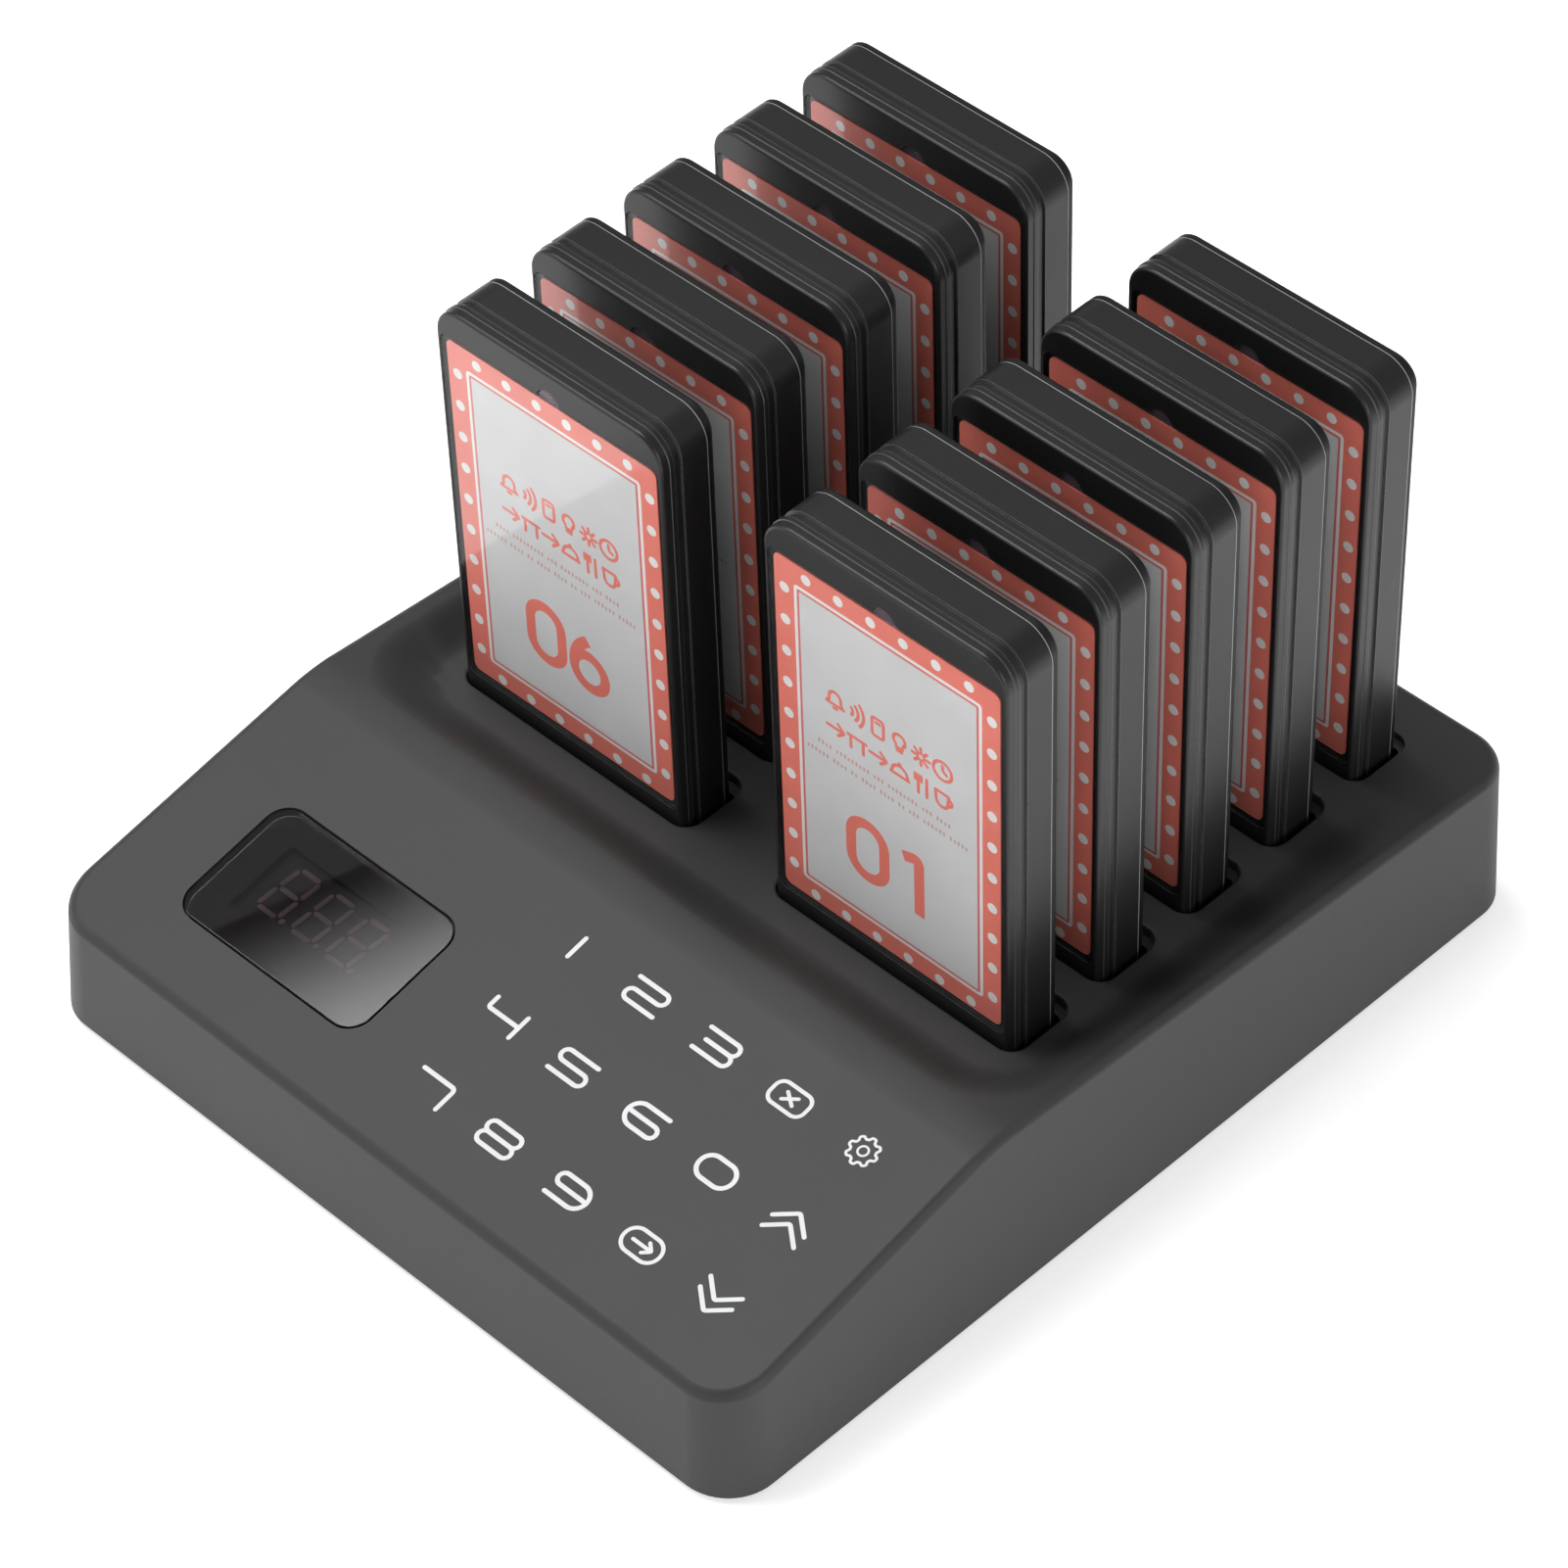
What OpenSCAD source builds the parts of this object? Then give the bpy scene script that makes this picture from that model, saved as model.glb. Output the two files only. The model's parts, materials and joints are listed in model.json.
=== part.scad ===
// Guest pager set: a charging dock with a key panel, and ten upright pagers in two columns of five.
// Millimetres, +Z up. The origin is on the floor under the middle of the dock, +Y to the rear.

/* [Pager] */
// Width of a pager
pager_w = 60; // [50:1:74]
// Thickness of a pager
pager_t = 14; // [12:0.5:18]
// Height of a pager
pager_h = 108; // [90:1:132]
// Corner radius of a pager's face
pager_corner_r = 7; // [5:0.5:8]
// Forward lean of the pagers and their wells, in degrees
pager_lean = 2.2; // [0:0.1:5]
// Wall of a pager's case
pager_wall = 1.8; // [1.4:0.1:2.2]
// Step from the front case in to the back case
back_inset = 0.5; // [0.3:0.1:1]
// Depth of the back case's visible rim
back_rim = 2.2; // [2:0.1:3]

/* [Label] */
// Width of the label card
label_w = 55.5; // [45:0.5:60]
// Height of the label card
label_h = 86.3; // [70:0.1:94]
// Thickness of the label card
label_t = 0.3; // [0.2:0.05:0.4]
// Dark border between the card and the edge of its recess
label_border = 1.25; // [0.8:0.05:1.5]
// Depth of the recess for the card and its clear window
label_recess = 0.8; // [0.5:0.1:1]
// Height of the label's middle above the pager's foot
label_mid_h = 56.75; // [46:0.25:66]

/* [Dock] */
// Depth of the sloping key panel, front wall to bend
panel_run = 71; // [60:1:86]
// Slope of the key panel, in degrees
panel_slope = 13.42; // [8:0.1:15]
// Height of the front edge above the dock's underside
front_h = 25.5; // [24:0.5:31]
// Fall of the rear deck towards the back, in degrees
deck_fall = 2.63; // [0:0.05:3]
// Side margin, from a slot's end to the dock's foot
side_margin = 19; // [18:0.5:24]
// Margin behind the last row of pagers
rear_margin = 30.31; // [29:0.5:40]
// Corner radius of the dock in plan
corner_r = 11; // [8:0.5:14]
// Radius of the dock's top edge
edge_r = 1.9; // [1:0.1:2.4]
// Draft of the dock's side walls, in degrees
draft = 2.5; // [0:0.1:4]
// Wall of the dock's upper housing
wall = 2.5; // [2:0.1:3]
// Thickness of the bottom cover
bottom_t = 2.5; // [2:0.1:3]
// Height of the rubber feet below the dock
foot_h = 1.5; // [1:0.1:3]

/* [Tray and slots] */
// Gap between the slots of the two columns
column_gap = 21.8; // [16:0.2:30]
// Gap between one pager and the next in a column
row_gap = 10.54; // [9.5:0.1:14]
// Distance from the bend to the front row of pagers
first_row_run = 24.53; // [22:0.1:30]
// Height of the tray's floor above the dock's underside, at the front row
floor_h = 34.9; // [33:0.1:37]
// Rise of the tray's floor towards the rear, in degrees
tray_rise = 1.07; // [0:0.01:1.5]
// Depth of a pager's foot below the tray's floor
slot_depth = 9.3; // [7:0.1:10]
// Plan width of the tray's sloping side walls
tray_wall_run = 10; // [6:0.5:11]
// Gap from a slot's end to the foot of the tray's side wall
tray_side_gap = 3.5; // [2.5:0.1:4]

/* [Key panel] */
// Width of the display window
window_w = 49.9; // [44:0.1:56]
// Height of the display window, up the slope
window_h = 30.3; // [26:0.1:34]
// Corner radius of the display window
window_r = 5; // [3:0.5:6]
// Distance from the dock's left side to the middle of the window
window_in = 47.05; // [44:0.1:52]
// Distance up the slope to the middle of the window
window_up = 31.75; // [28:0.1:36]
// Thickness of the display window
window_t = 1.8; // [1.4:0.1:2]

/* [Fasteners and inlet] */
// Shank radius of the case screws
case_screw_r = 1.25; // [1:0.05:1.5]
// Shank radius of the board screws
board_screw_r = 0.9; // [0.8:0.05:1.1]
// Radius of the power inlet's barrel
inlet_r = 2.9; // [2.4:0.1:3.2]
// Radius of a rubber foot
foot_r = 6; // [5:0.5:7]

/* [Clearances] */
// Pager to well, in front
well_front_gap = 0.4; // [0.3:0.05:0.5]
// Pager to well, behind
well_back_gap = 0.5; // [0.3:0.05:0.6]
// Pager to well, at each side
well_side_gap = 0.5; // [0.3:0.05:0.6]
// Pager's foot above the seat of its well
seat_gap = 0.05; // [0.02:0.01:0.1]
// Window, boards and covers to the pieces round them
fit_gap = 0.15; // [0.1:0.05:0.2]
// Screws and contact pins to their bores
pin_gap = 0.05; // [0.02:0.01:0.1]

/* [Hidden] */
$fn = 48;
HULL_FN = 32;
ROWS = 5;
COUNT = 2 * ROWS;
cut = 1;

// Where the rows and columns stand
slot_end = 1.8;
slot_w = pager_w + 2 * slot_end;
slot_front = 1.0;
slot_back = 2.5;
slot_r = 4;
column_x = (slot_w + column_gap) / 2;
row_pitch = pager_t + row_gap;
dock_w = 2 * (column_x + slot_w / 2 + side_margin);
dock_d = panel_run + first_row_run + (ROWS - 1) * row_pitch + rear_margin;
front_y = -dock_d / 2;
bend_y = front_y + panel_run;
first_row_y = bend_y + first_row_run;
last_row_y = first_row_y + (ROWS - 1) * row_pitch;

// Heights of the dock's surfaces
front_z = foot_h + front_h;
bend_z = front_z + panel_run * tan(panel_slope);
floor_z0 = foot_h + floor_h;
function deck_z(y) = bend_z - (y - bend_y) * tan(deck_fall);
function panel_z(y) = front_z + (y - front_y) * tan(panel_slope);
function top_z(y) = min(deck_z(y), panel_z(y));
function floor_z(y) = floor_z0 + (y - first_row_y) * tan(tray_rise);
function half_w(z) = dock_w / 2 - (z - foot_h) * tan(draft);
function half_d(z) = dock_d / 2 - (z - foot_h) * tan(draft);
// The tray runs out where its rising floor meets the falling deck
meet_y = bend_y + (bend_z - floor_z(bend_y)) / (tan(deck_fall) + tan(tray_rise));

// Tray outline, at its floor and at the deck
tray_half_floor = column_x + slot_w / 2 + tray_side_gap;
tray_half_top = tray_half_floor + tray_wall_run;
tray_front_floor = first_row_y - 7.5;
tray_front_top = bend_y + 3;
tray_r_floor = 10;
tray_r_top = 17;
pan_edge = 3;
pan_rear_y = last_row_y + pager_t + 6;

// Wells, boards and pins under the tray
well_wall = 1.6;
well_r = 1.2;
well_w = pager_w + 2 * well_side_gap;
well_d = pager_t + well_front_gap + well_back_gap;
well_mid_y = (pager_t + well_back_gap - well_front_gap) / 2;
cradle_t = 2;
cradle_end = 3;
charge_board_drop = slot_depth + well_wall + 0.4;
board_t = 1.6;
pin_r = 0.75;
pin_x = 12;
pin_y = pager_t / 2;
pin_low = -charge_board_drop + slot_depth - board_t - 1.5;
post_x = 20;

// Pager
back_y = pager_t - back_rim;
ridge = [2.14, 3.33, 5.17];
front_wall = 2;
window_recess_w = label_w + 2 * label_border;
window_recess_h = label_h + 2 * label_border;
led_r = 3;
led_z = label_mid_h + label_h / 2 + 0.3;
contact_w = 6;
contact_d = 5;

// Key panel and the boards below it
window_x = -dock_w / 2 + window_in;
display_drop = 3;
display_board_drop = 11;
display_w = 34;
display_h = 20;
panel_post_x = 27;
panel_post_y = 13;
touch_left = window_x + window_w / 2 + 12;
touch_right = dock_w / 2 - 13.5;
touch_low = 6;
touch_high = panel_run / cos(panel_slope) - 6;

// Bottom cover, main board and screws
cover_top = foot_h + bottom_t;
board_z = cover_top + 4;
board_front = front_y + 8;
board_rear = bend_y - 6;
board_half_w = dock_w / 2 - 16;
boss_r = 3.5;
boss_x = dock_w / 2 - 9;
boss_places = [for (x = [-1, 1], y = [front_y + 12, 8, -front_y - 8]) [x * boss_x, y]];
post_places = [for (x = [-1, 1], y = [board_front + 6, board_rear - 6]) [x * (board_half_w - 8), y]];
screw_head_r = 2.8;
screw_head_h = 1.6;
foot_sink = 1;
foot_in = 20;
inlet_z = foot_h + 12.5;
inlet_body = [9.5, 13, 11];
inlet_wall_y = half_d(inlet_z) - wall;
lead_r = 1.1;

function two_digits(n) = n < 10 ? str("0", n) : str(n);
PAGER_PIECES = ["front_case", "back_case", "label_card", "electronics"];
function pager_node(n, piece) = str("pager_", two_digits(n), "_", piece);

// ---------------------------------------------------------------- shared shapes

// A rectangle with true arcs at its corners
module rounded_outline(w, d, r) {
    square([w - 2 * r, d], center = true);
    square([w, d - 2 * r], center = true);
    for (x = [-1, 1], y = [-1, 1])
        translate([x * (w / 2 - r), y * (d / 2 - r)]) circle(r);
}

// An upright rounded slab, from depth y0 to y1, with its middle at height z
module upright(y0, y1, w, h, r, z) {
    translate([0, y1, z]) rotate([90, 0, 0]) linear_extrude(y1 - y0) rounded_outline(w, h, r);
}

// A box given by its middle in x, and by its ends in y and z
module block(x, w, y0, y1, z0, z1) {
    translate([x - w / 2, y0, z0]) cube([w, y1 - y0, z1 - z0]);
}

// Places a child at pager n's foot, with the pager's lean
module at_pager(n) {
    side = n > ROWS ? -1 : 1;
    y = first_row_y + (n - 1) % ROWS * row_pitch;
    translate([side * column_x, y, floor_z(y) - slot_depth]) rotate([pager_lean, 0, 0]) children();
}

// Places a child on the key panel, x across, y up the slope, z out of it
module on_panel(x, y) {
    translate([x, front_y, front_z]) rotate([panel_slope, 0, 0]) translate([0, y, 0]) children();
}

// Places a child on the tray's floor at the front row, with the floor's rise
module on_floor(x) {
    translate([x, first_row_y, floor_z0]) rotate([tray_rise, 0, 0]) children();
}

// The dock's outer form, or the same form set in by a wall
module housing_form(inset, r_edge) {
    r = corner_r - inset;
    low = foot_h - (inset > 0 ? cut : 0);
    hull() {
        for (x = [-1, 1], y = [-1, 1])
            translate([x * (half_w(low) - inset - r), y * (half_d(low) - inset - r), low])
                cylinder(r = r, h = 0.01, $fn = HULL_FN);
        for (x = [-1, 1], y = [-1, 1]) {
            tilt = y < 0 ? panel_slope : -deck_fall;
            edge_z = top_z(y * dock_d / 2);
            mid_y = y * (half_d(edge_z) - corner_r);
            translate([x * (half_w(edge_z) - corner_r), mid_y, top_z(mid_y) - (inset + r_edge) / cos(tilt)])
                rotate([tilt, 0, 0]) rotate_extrude($fn = HULL_FN)
                    translate([r - r_edge, 0]) circle(r_edge, $fn = 16);
        }
        for (x = [-1, 1])
            translate([x * (half_w(bend_z) - inset - r_edge), bend_y, bend_z - inset - r_edge])
                sphere(r_edge, $fn = 16);
    }
}

// The space above the sunken tray: a soft front and sloping sides that run out to nothing at the rear
module tray_space() {
    hull() {
        for (x = [-1, 1]) {
            y = tray_front_floor + tray_r_floor;
            translate([x * (tray_half_floor - tray_r_floor), y, floor_z(y)]) rotate([tray_rise, 0, 0])
                cylinder(r = tray_r_floor, h = 0.01, $fn = HULL_FN);
            translate([x * tray_half_floor, meet_y, floor_z(meet_y)]) cube(0.01, center = true);
            y_top = tray_front_top + tray_r_top;
            translate([x * (tray_half_top - tray_r_top), y_top, deck_z(y_top)]) rotate([-deck_fall, 0, 0])
                cylinder(r = tray_r_top, h = wall, $fn = HULL_FN);
            translate([x * tray_half_top, meet_y, deck_z(meet_y) + wall / 2])
                cube([0.01, 0.01, wall], center = true);
        }
    }
}

// The body of plastic that is left round the tray, one wall thick
module tray_pan() {
    low = tray_half_floor + pan_edge;
    hull() {
        on_floor(0) translate([-low, tray_front_floor - first_row_y - pan_edge, -wall])
            cube([2 * low, pan_rear_y - tray_front_floor + pan_edge, 0.01]);
        translate([-half_w(bend_z) + wall / 2, tray_front_top - pan_edge, bend_z - wall])
            cube([2 * half_w(bend_z) - wall, pan_rear_y - tray_front_top + pan_edge, 2 * wall]);
    }
}

// Flat room under the pan for the two slot cradles
module cradle_room() {
    low = tray_half_floor + pan_edge;
    on_floor(0) translate([-low, tray_front_floor - first_row_y, -wall - slot_depth])
        cube([2 * low, pan_rear_y - tray_front_floor, slot_depth]);
}

// ---------------------------------------------------------------- dock

module slot_openings() {
    for (n = [1:COUNT])
        at_pager(n) translate([0, (pager_t + slot_back - slot_front) / 2, -cut])
            linear_extrude(2 * slot_depth + cut)
                rounded_outline(slot_w, pager_t + slot_front + slot_back, slot_r);
}

module panel_post_places() {
    on_panel(window_x, window_up)
        for (x = [-1, 1], y = [-1, 1]) translate([x * panel_post_x, y * panel_post_y, 0]) children();
}

// Upper housing: key panel, deck, tray and slots in one moulding, with the screw bosses
module top_cover() {
    color("#55565a") difference() {
        union() {
            difference() {
                housing_form(0, edge_r);
                difference() {
                    housing_form(wall, 0.4);
                    tray_pan();
                }
            }
            for (p = boss_places)
                translate([p.x, p.y, cover_top]) cylinder(r = boss_r, h = top_z(p.y) - 1.3 - cover_top);
            panel_post_places()
                translate([0, 0, -display_board_drop]) cylinder(r = 2.4, h = display_board_drop - 1);
        }
        tray_space();
        cradle_room();
        slot_openings();
        on_panel(window_x, window_up) {
            translate([0, 0, -window_t - fit_gap]) linear_extrude(wall + window_t)
                rounded_outline(window_w + 2 * fit_gap, window_h + 2 * fit_gap, window_r + fit_gap);
            translate([0, 0, -wall - cut]) linear_extrude(wall + cut)
                rounded_outline(window_w - 6, window_h - 6, window_r - 2);
        }
        for (p = boss_places)
            translate([p.x, p.y, cover_top - cut]) cylinder(r = case_screw_r + pin_gap, h = 14 + cut);
        panel_post_places()
            translate([0, 0, -display_board_drop - cut]) cylinder(r = board_screw_r + pin_gap, h = 7);
        translate([0, inlet_wall_y - cut, inlet_z]) rotate([-90, 0, 0])
            cylinder(r = inlet_r + 1 + fit_gap, h = wall + 3 * cut);
    }
}

// Flat cover that closes the underside, with posts for the main board and a rest for the power inlet
module bottom_cover() {
    edge = wall + 2 * fit_gap;
    color("#3f4043") difference() {
        union() {
            translate([0, 0, foot_h]) linear_extrude(bottom_t)
                rounded_outline(dock_w - 2 * edge, dock_d - 2 * edge, corner_r - edge);
            for (p = post_places)
                translate([p.x, p.y, foot_h]) cylinder(r = 3, h = board_z - foot_h);
            block(0, inlet_body.x, inlet_wall_y - inlet_body.y, inlet_wall_y - 2 * fit_gap,
                  foot_h, inlet_z - inlet_body.z / 2);
        }
        for (p = boss_places) translate([p.x, p.y, foot_h - cut]) {
            cylinder(r = case_screw_r + pin_gap, h = bottom_t + 2 * cut);
            cylinder(r = screw_head_r + fit_gap, h = screw_head_h + cut);
        }
        for (p = post_places)
            translate([p.x, p.y, board_z - 5]) cylinder(r = board_screw_r + pin_gap, h = 5 + cut);
        foot_places() translate([0, 0, -cut]) cylinder(r = foot_r + fit_gap, h = foot_h + foot_sink + cut);
    }
}

module foot_places() {
    for (x = [-1, 1], y = [-1, 1])
        translate([x * (dock_w / 2 - foot_in), y * (dock_d / 2 - foot_in), 0]) children();
}

module rubber_feet() {
    color("#202022") foot_places() {
        cylinder(r = foot_r - 0.4, h = 0.4);
        translate([0, 0, 0.4]) cylinder(r = foot_r, h = foot_h + foot_sink - 0.4);
    }
}

// One column's wells: a plate under the tray with five cups, each leaning as its pager does
module slot_cradle(side) {
    first = side > 0 ? 1 : ROWS + 1;
    plate_front = -well_front_gap - well_wall - cradle_end;
    plate_len = (ROWS - 1) * row_pitch + well_d + 2 * (well_wall + cradle_end);
    color("#232427") difference() {
        union() {
            on_floor(side * column_x) translate([-well_w / 2 - cradle_end, plate_front, -wall - cradle_t])
                cube([well_w + 2 * cradle_end, plate_len, cradle_t]);
            for (n = [first:first + ROWS - 1])
                at_pager(n) translate([0, well_mid_y, -seat_gap - well_wall])
                    linear_extrude(slot_depth + well_wall)
                        rounded_outline(well_w + 2 * well_wall, well_d + 2 * well_wall, slot_r);
            cradle_post_places(side)
                translate([0, 0, -charge_board_drop]) cylinder(r = 2.2, h = charge_board_drop - wall - 0.5);
        }
        on_floor(side * column_x) translate([-well_w, plate_front - cut, -wall])
            cube([2 * well_w, plate_len + 2 * cut, slot_depth]);
        for (n = [first:first + ROWS - 1]) at_pager(n) {
            translate([0, well_mid_y, -seat_gap])
                linear_extrude(2 * slot_depth) rounded_outline(well_w, well_d, well_r);
            pin_bores();
        }
        cradle_post_places(side)
            translate([0, 0, -charge_board_drop - cut]) cylinder(r = board_screw_r + pin_gap, h = 6);
    }
}

// Posts that hold a charging board, between the first two cups and between the last two
module cradle_post_places(side) {
    on_floor(side * column_x)
        for (x = [-1, 1], k = [1, ROWS - 1])
            translate([x * post_x, k * row_pitch - row_gap / 2, 0]) children();
}

module pin_bores() {
    for (x = [-1, 1])
        translate([x * pin_x, pin_y, pin_low - cut]) cylinder(r = pin_r + pin_gap, h = -pin_low + 2 * cut);
}

module charging_boards() {
    color("#1f6b45") for (side = [-1, 1]) difference() {
        on_floor(side * column_x) translate([-well_w / 2, -4, -charge_board_drop - board_t])
            cube([well_w, (ROWS - 1) * row_pitch + pager_t + 8, board_t]);
        for (n = [1:COUNT]) at_pager(n) pin_bores();
        cradle_post_places(side)
            translate([0, 0, -charge_board_drop - board_t - cut])
                cylinder(r = board_screw_r + pin_gap, h = board_t + 2 * cut);
    }
}

// Sprung pins, two to a well, that stand through the board and the cup up to the pager's contacts
module charging_pins() {
    color("#c9a34a") for (n = [1:COUNT]) at_pager(n)
        for (x = [-1, 1])
            translate([x * pin_x, pin_y, pin_low]) cylinder(r = pin_r, h = -pin_low - 2 * seat_gap);
}

// ---------------------------------------------------------------- key panel

module display_window() {
    color("#1a1719") on_panel(window_x, window_up)
        translate([0, 0, -window_t]) linear_extrude(window_t) rounded_outline(window_w, window_h, window_r);
}

// Three-digit display, with a foot pin at each corner of its block
module display_module() {
    color("#2b2729") on_panel(window_x, window_up)
        translate([-display_w / 2, -display_h / 2, -display_board_drop + fit_gap])
            cube([display_w, display_h, display_board_drop - display_drop - fit_gap]);
}

module display_board() {
    board_w = 2 * panel_post_x + 8;
    board_h = 2 * panel_post_y + 8;
    color("#1f6b45") difference() {
        on_panel(window_x, window_up)
            translate([-board_w / 2, -board_h / 2, -display_board_drop - board_t])
                cube([board_w, board_h, board_t]);
        panel_post_places()
            translate([0, 0, -display_board_drop - board_t - cut])
                cylinder(r = board_screw_r + pin_gap, h = board_t + 2 * cut);
    }
}

// Board with the touch pads, under the printed keys
module touch_board() {
    color("#1f6b45") on_panel(touch_left, touch_low)
        translate([0, 0, -wall - fit_gap - board_t])
            cube([touch_right - touch_left, touch_high - touch_low, board_t]);
}

// ---------------------------------------------------------------- electronics in the dock

module main_board() {
    chip_mid = (board_front + board_rear) / 2;
    color("#1f6b45") {
        difference() {
            block(0, 2 * board_half_w, board_front, board_rear, board_z, board_z + board_t);
            for (p = post_places)
                translate([p.x, p.y, board_z - cut])
                    cylinder(r = board_screw_r + pin_gap, h = board_t + 2 * cut);
        }
        block(0, 14, chip_mid - 7, chip_mid + 7, board_z + board_t, board_z + board_t + 1.6);
        block(-25, 10, chip_mid - 3, chip_mid + 3, board_z + board_t, board_z + board_t + 1.8);
        block(-25, 8, chip_mid + 8, chip_mid + 14, board_z + board_t, board_z + board_t + 4);
    }
}

module radio_module() {
    board_top = board_z + board_t;
    color("#b9bcc0") {
        block(52, 26, board_front + 14, board_front + 34, board_top, board_top + 1);
        block(52, 22, board_front + 16, board_front + 32, board_top + 1, board_top + 3.4);
    }
}

// Sleeve antenna, on a block at the rear of the main board
module antenna() {
    board_top = board_z + board_t;
    color("#1d1d1f") {
        block(66, 8, board_rear - 22, board_rear - 14, board_top, board_top + 5);
        translate([66, board_rear - 18, board_top + 2.5]) rotate([-90, 0, 0]) cylinder(r = 2, h = 60);
    }
}

module buzzer() {
    color("#161617") translate([-55, board_front + 24, board_z + board_t]) difference() {
        cylinder(r = 6, h = 5.5);
        translate([0, 0, 3]) cylinder(r = 1, h = 4);
    }
}

// Barrel socket in the rear wall, with its centre pin
module power_inlet() {
    nose_y = half_d(inlet_z) - 0.4;
    color("#1b1b1d") difference() {
        union() {
            block(0, inlet_body.x, inlet_wall_y - inlet_body.y, inlet_wall_y - 2 * fit_gap,
                  inlet_z - inlet_body.z / 2, inlet_z + inlet_body.z / 2);
            translate([0, inlet_wall_y - 2, inlet_z]) rotate([-90, 0, 0])
                cylinder(r = inlet_r + 1, h = nose_y - inlet_wall_y + 2);
        }
        translate([0, nose_y + cut, inlet_z]) rotate([90, 0, 0]) difference() {
            cylinder(r = inlet_r, h = 11 + cut);
            translate([0, 0, cut + 1]) cylinder(r = 1, h = 11);
        }
    }
}

// Flat cable from the touch board down to the main board
module ribbon_cable() {
    thick = 0.6;
    low = board_z + board_t + fit_gap;
    under = wall + 2 * fit_gap + board_t;
    up = touch_high - 14;
    top_y = front_y + up * cos(panel_slope) + under * sin(panel_slope);
    top_cable_z = front_z + up * sin(panel_slope) - under * cos(panel_slope) - thick;
    bend_down_y = top_y + 4;
    color("#8d9096") translate([touch_left + 20, 0, 0]) rotate([90, 0, 90]) linear_extrude(16)
        polygon([[top_y, top_cable_z], [top_y, top_cable_z - thick], [bend_down_y - thick, top_cable_z - 6],
                 [bend_down_y - thick, low], [bend_down_y, low], [bend_down_y, top_cable_z - 5.5]]);
}

// A round lead through a few points, with a slightly fuller bead at each bend
module lead(points, r) {
    for (i = [0:len(points) - 2]) {
        run = points[i + 1] - points[i];
        translate(points[i]) {
            rotate([0, acos(run.z / norm(run)), atan2(run.y, run.x)]) cylinder(r = r, h = norm(run), $fn = 24);
            sphere(1.1 * r, $fn = 24);
        }
    }
}

// Leads from the power inlet to the main board and on to the two charging boards, each with its plugs
module charging_harness() {
    plug_z = board_z + board_t;
    plug_mid = plug_z + 2.5;
    inlet_rear = inlet_wall_y - inlet_body.y;
    board_plug = charge_board_drop + board_t;
    color("#2a2a2c") {
        block(0, 8, board_rear - 8, board_rear - 2, plug_z, plug_z + 5);
        lead([[0, board_rear - 4, plug_mid], [0, board_rear + 4, plug_mid], [0, board_rear + 12, plug_z - 2],
              [0, inlet_rear - 14, plug_z - 2], [0, inlet_rear - 6, inlet_z], [0, inlet_rear, inlet_z]], lead_r);
        for (side = [-1, 1]) {
            block(side * 16, 8, board_rear - 8, board_rear - 2, plug_z, plug_z + 5);
            on_floor(side * column_x) translate([-4, 2, -board_plug - 4]) cube([8, 6, 4]);
            lead([[side * 16, board_rear - 4, plug_mid], [side * 16, board_rear + 8, plug_mid],
                  [side * column_x, first_row_y + 5, floor_z0 - board_plug - 2]], lead_r);
        }
    }
}

module case_screws() {
    color("#8f9296") for (p = boss_places) translate([p.x, p.y, foot_h + 0.2]) difference() {
        union() {
            cylinder(r = screw_head_r, h = screw_head_h - 0.2);
            cylinder(r = case_screw_r, h = bottom_t + 10);
        }
        translate([0, 0, -cut]) cylinder(r = 1.1, h = cut + 0.8, $fn = 6);
    }
}

// Small screws of the main board, the display board and the charging boards
module board_screws() {
    color("#a9acb0") {
        for (p = post_places) translate([p.x, p.y, board_z + board_t]) small_screw(board_t + 4);
        panel_post_places() translate([0, 0, -display_board_drop - board_t]) mirror([0, 0, 1])
            small_screw(board_t + 4);
        for (side = [-1, 1]) cradle_post_places(side)
            translate([0, 0, -charge_board_drop - board_t]) mirror([0, 0, 1]) small_screw(board_t + 4);
    }
}

// A screw with its head above z = 0 and its shank below
module small_screw(shank) {
    cylinder(r = 1.7, h = 1.1);
    translate([0, 0, -shank]) cylinder(r = board_screw_r, h = shank + 0.1);
}

// ---------------------------------------------------------------- pager

module pager_slab(y0, y1, inset) {
    upright(y0, y1, pager_w - 2 * inset, pager_h - 2 * inset, pager_corner_r - inset, pager_h / 2);
}

// Front case: the face with its label recess, and the rim with two fine ridges round it
module pager_front_case(n) {
    color("#2e2f32") at_pager(n) difference() {
        union() {
            pager_slab(0, 0.5, 0.5);
            pager_slab(0.5, ridge[0], 0.15);
            pager_slab(ridge[0], ridge[1], 0);
            pager_slab(ridge[1], ridge[2], 0.4);
            pager_slab(ridge[2], back_y, 0);
        }
        pager_slab(front_wall, back_y + cut, pager_wall);
        upright(-cut, label_recess, window_recess_w, window_recess_h, 2, label_mid_h);
        translate([0, -cut, led_z]) rotate([-90, 0, 0]) cylinder(r = led_r + fit_gap, h = front_wall + 2 * cut);
        for (x = [-1, 1])
            block(x * pin_x, contact_w + 2 * fit_gap, pin_y - contact_d / 2 - fit_gap,
                  pin_y + contact_d / 2 + fit_gap, -cut, pager_wall + cut);
    }
}

// Back case: set in from the front case, with a lip that plugs into it
module pager_back_case(n) {
    lip_inset = pager_wall + fit_gap;
    color("#1f2022") at_pager(n) difference() {
        union() {
            pager_slab(back_y, pager_t, back_inset);
            pager_slab(back_y - 1.4, back_y + 0.1, lip_inset);
        }
        pager_slab(back_y - 1.4 - cut, pager_t - 1.4, lip_inset + 1.2);
    }
}

module pager_label_card(n) {
    color("#e57367") at_pager(n)
        upright(label_recess - label_t, label_recess, label_w, label_h, 1.5, label_mid_h);
}

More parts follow.
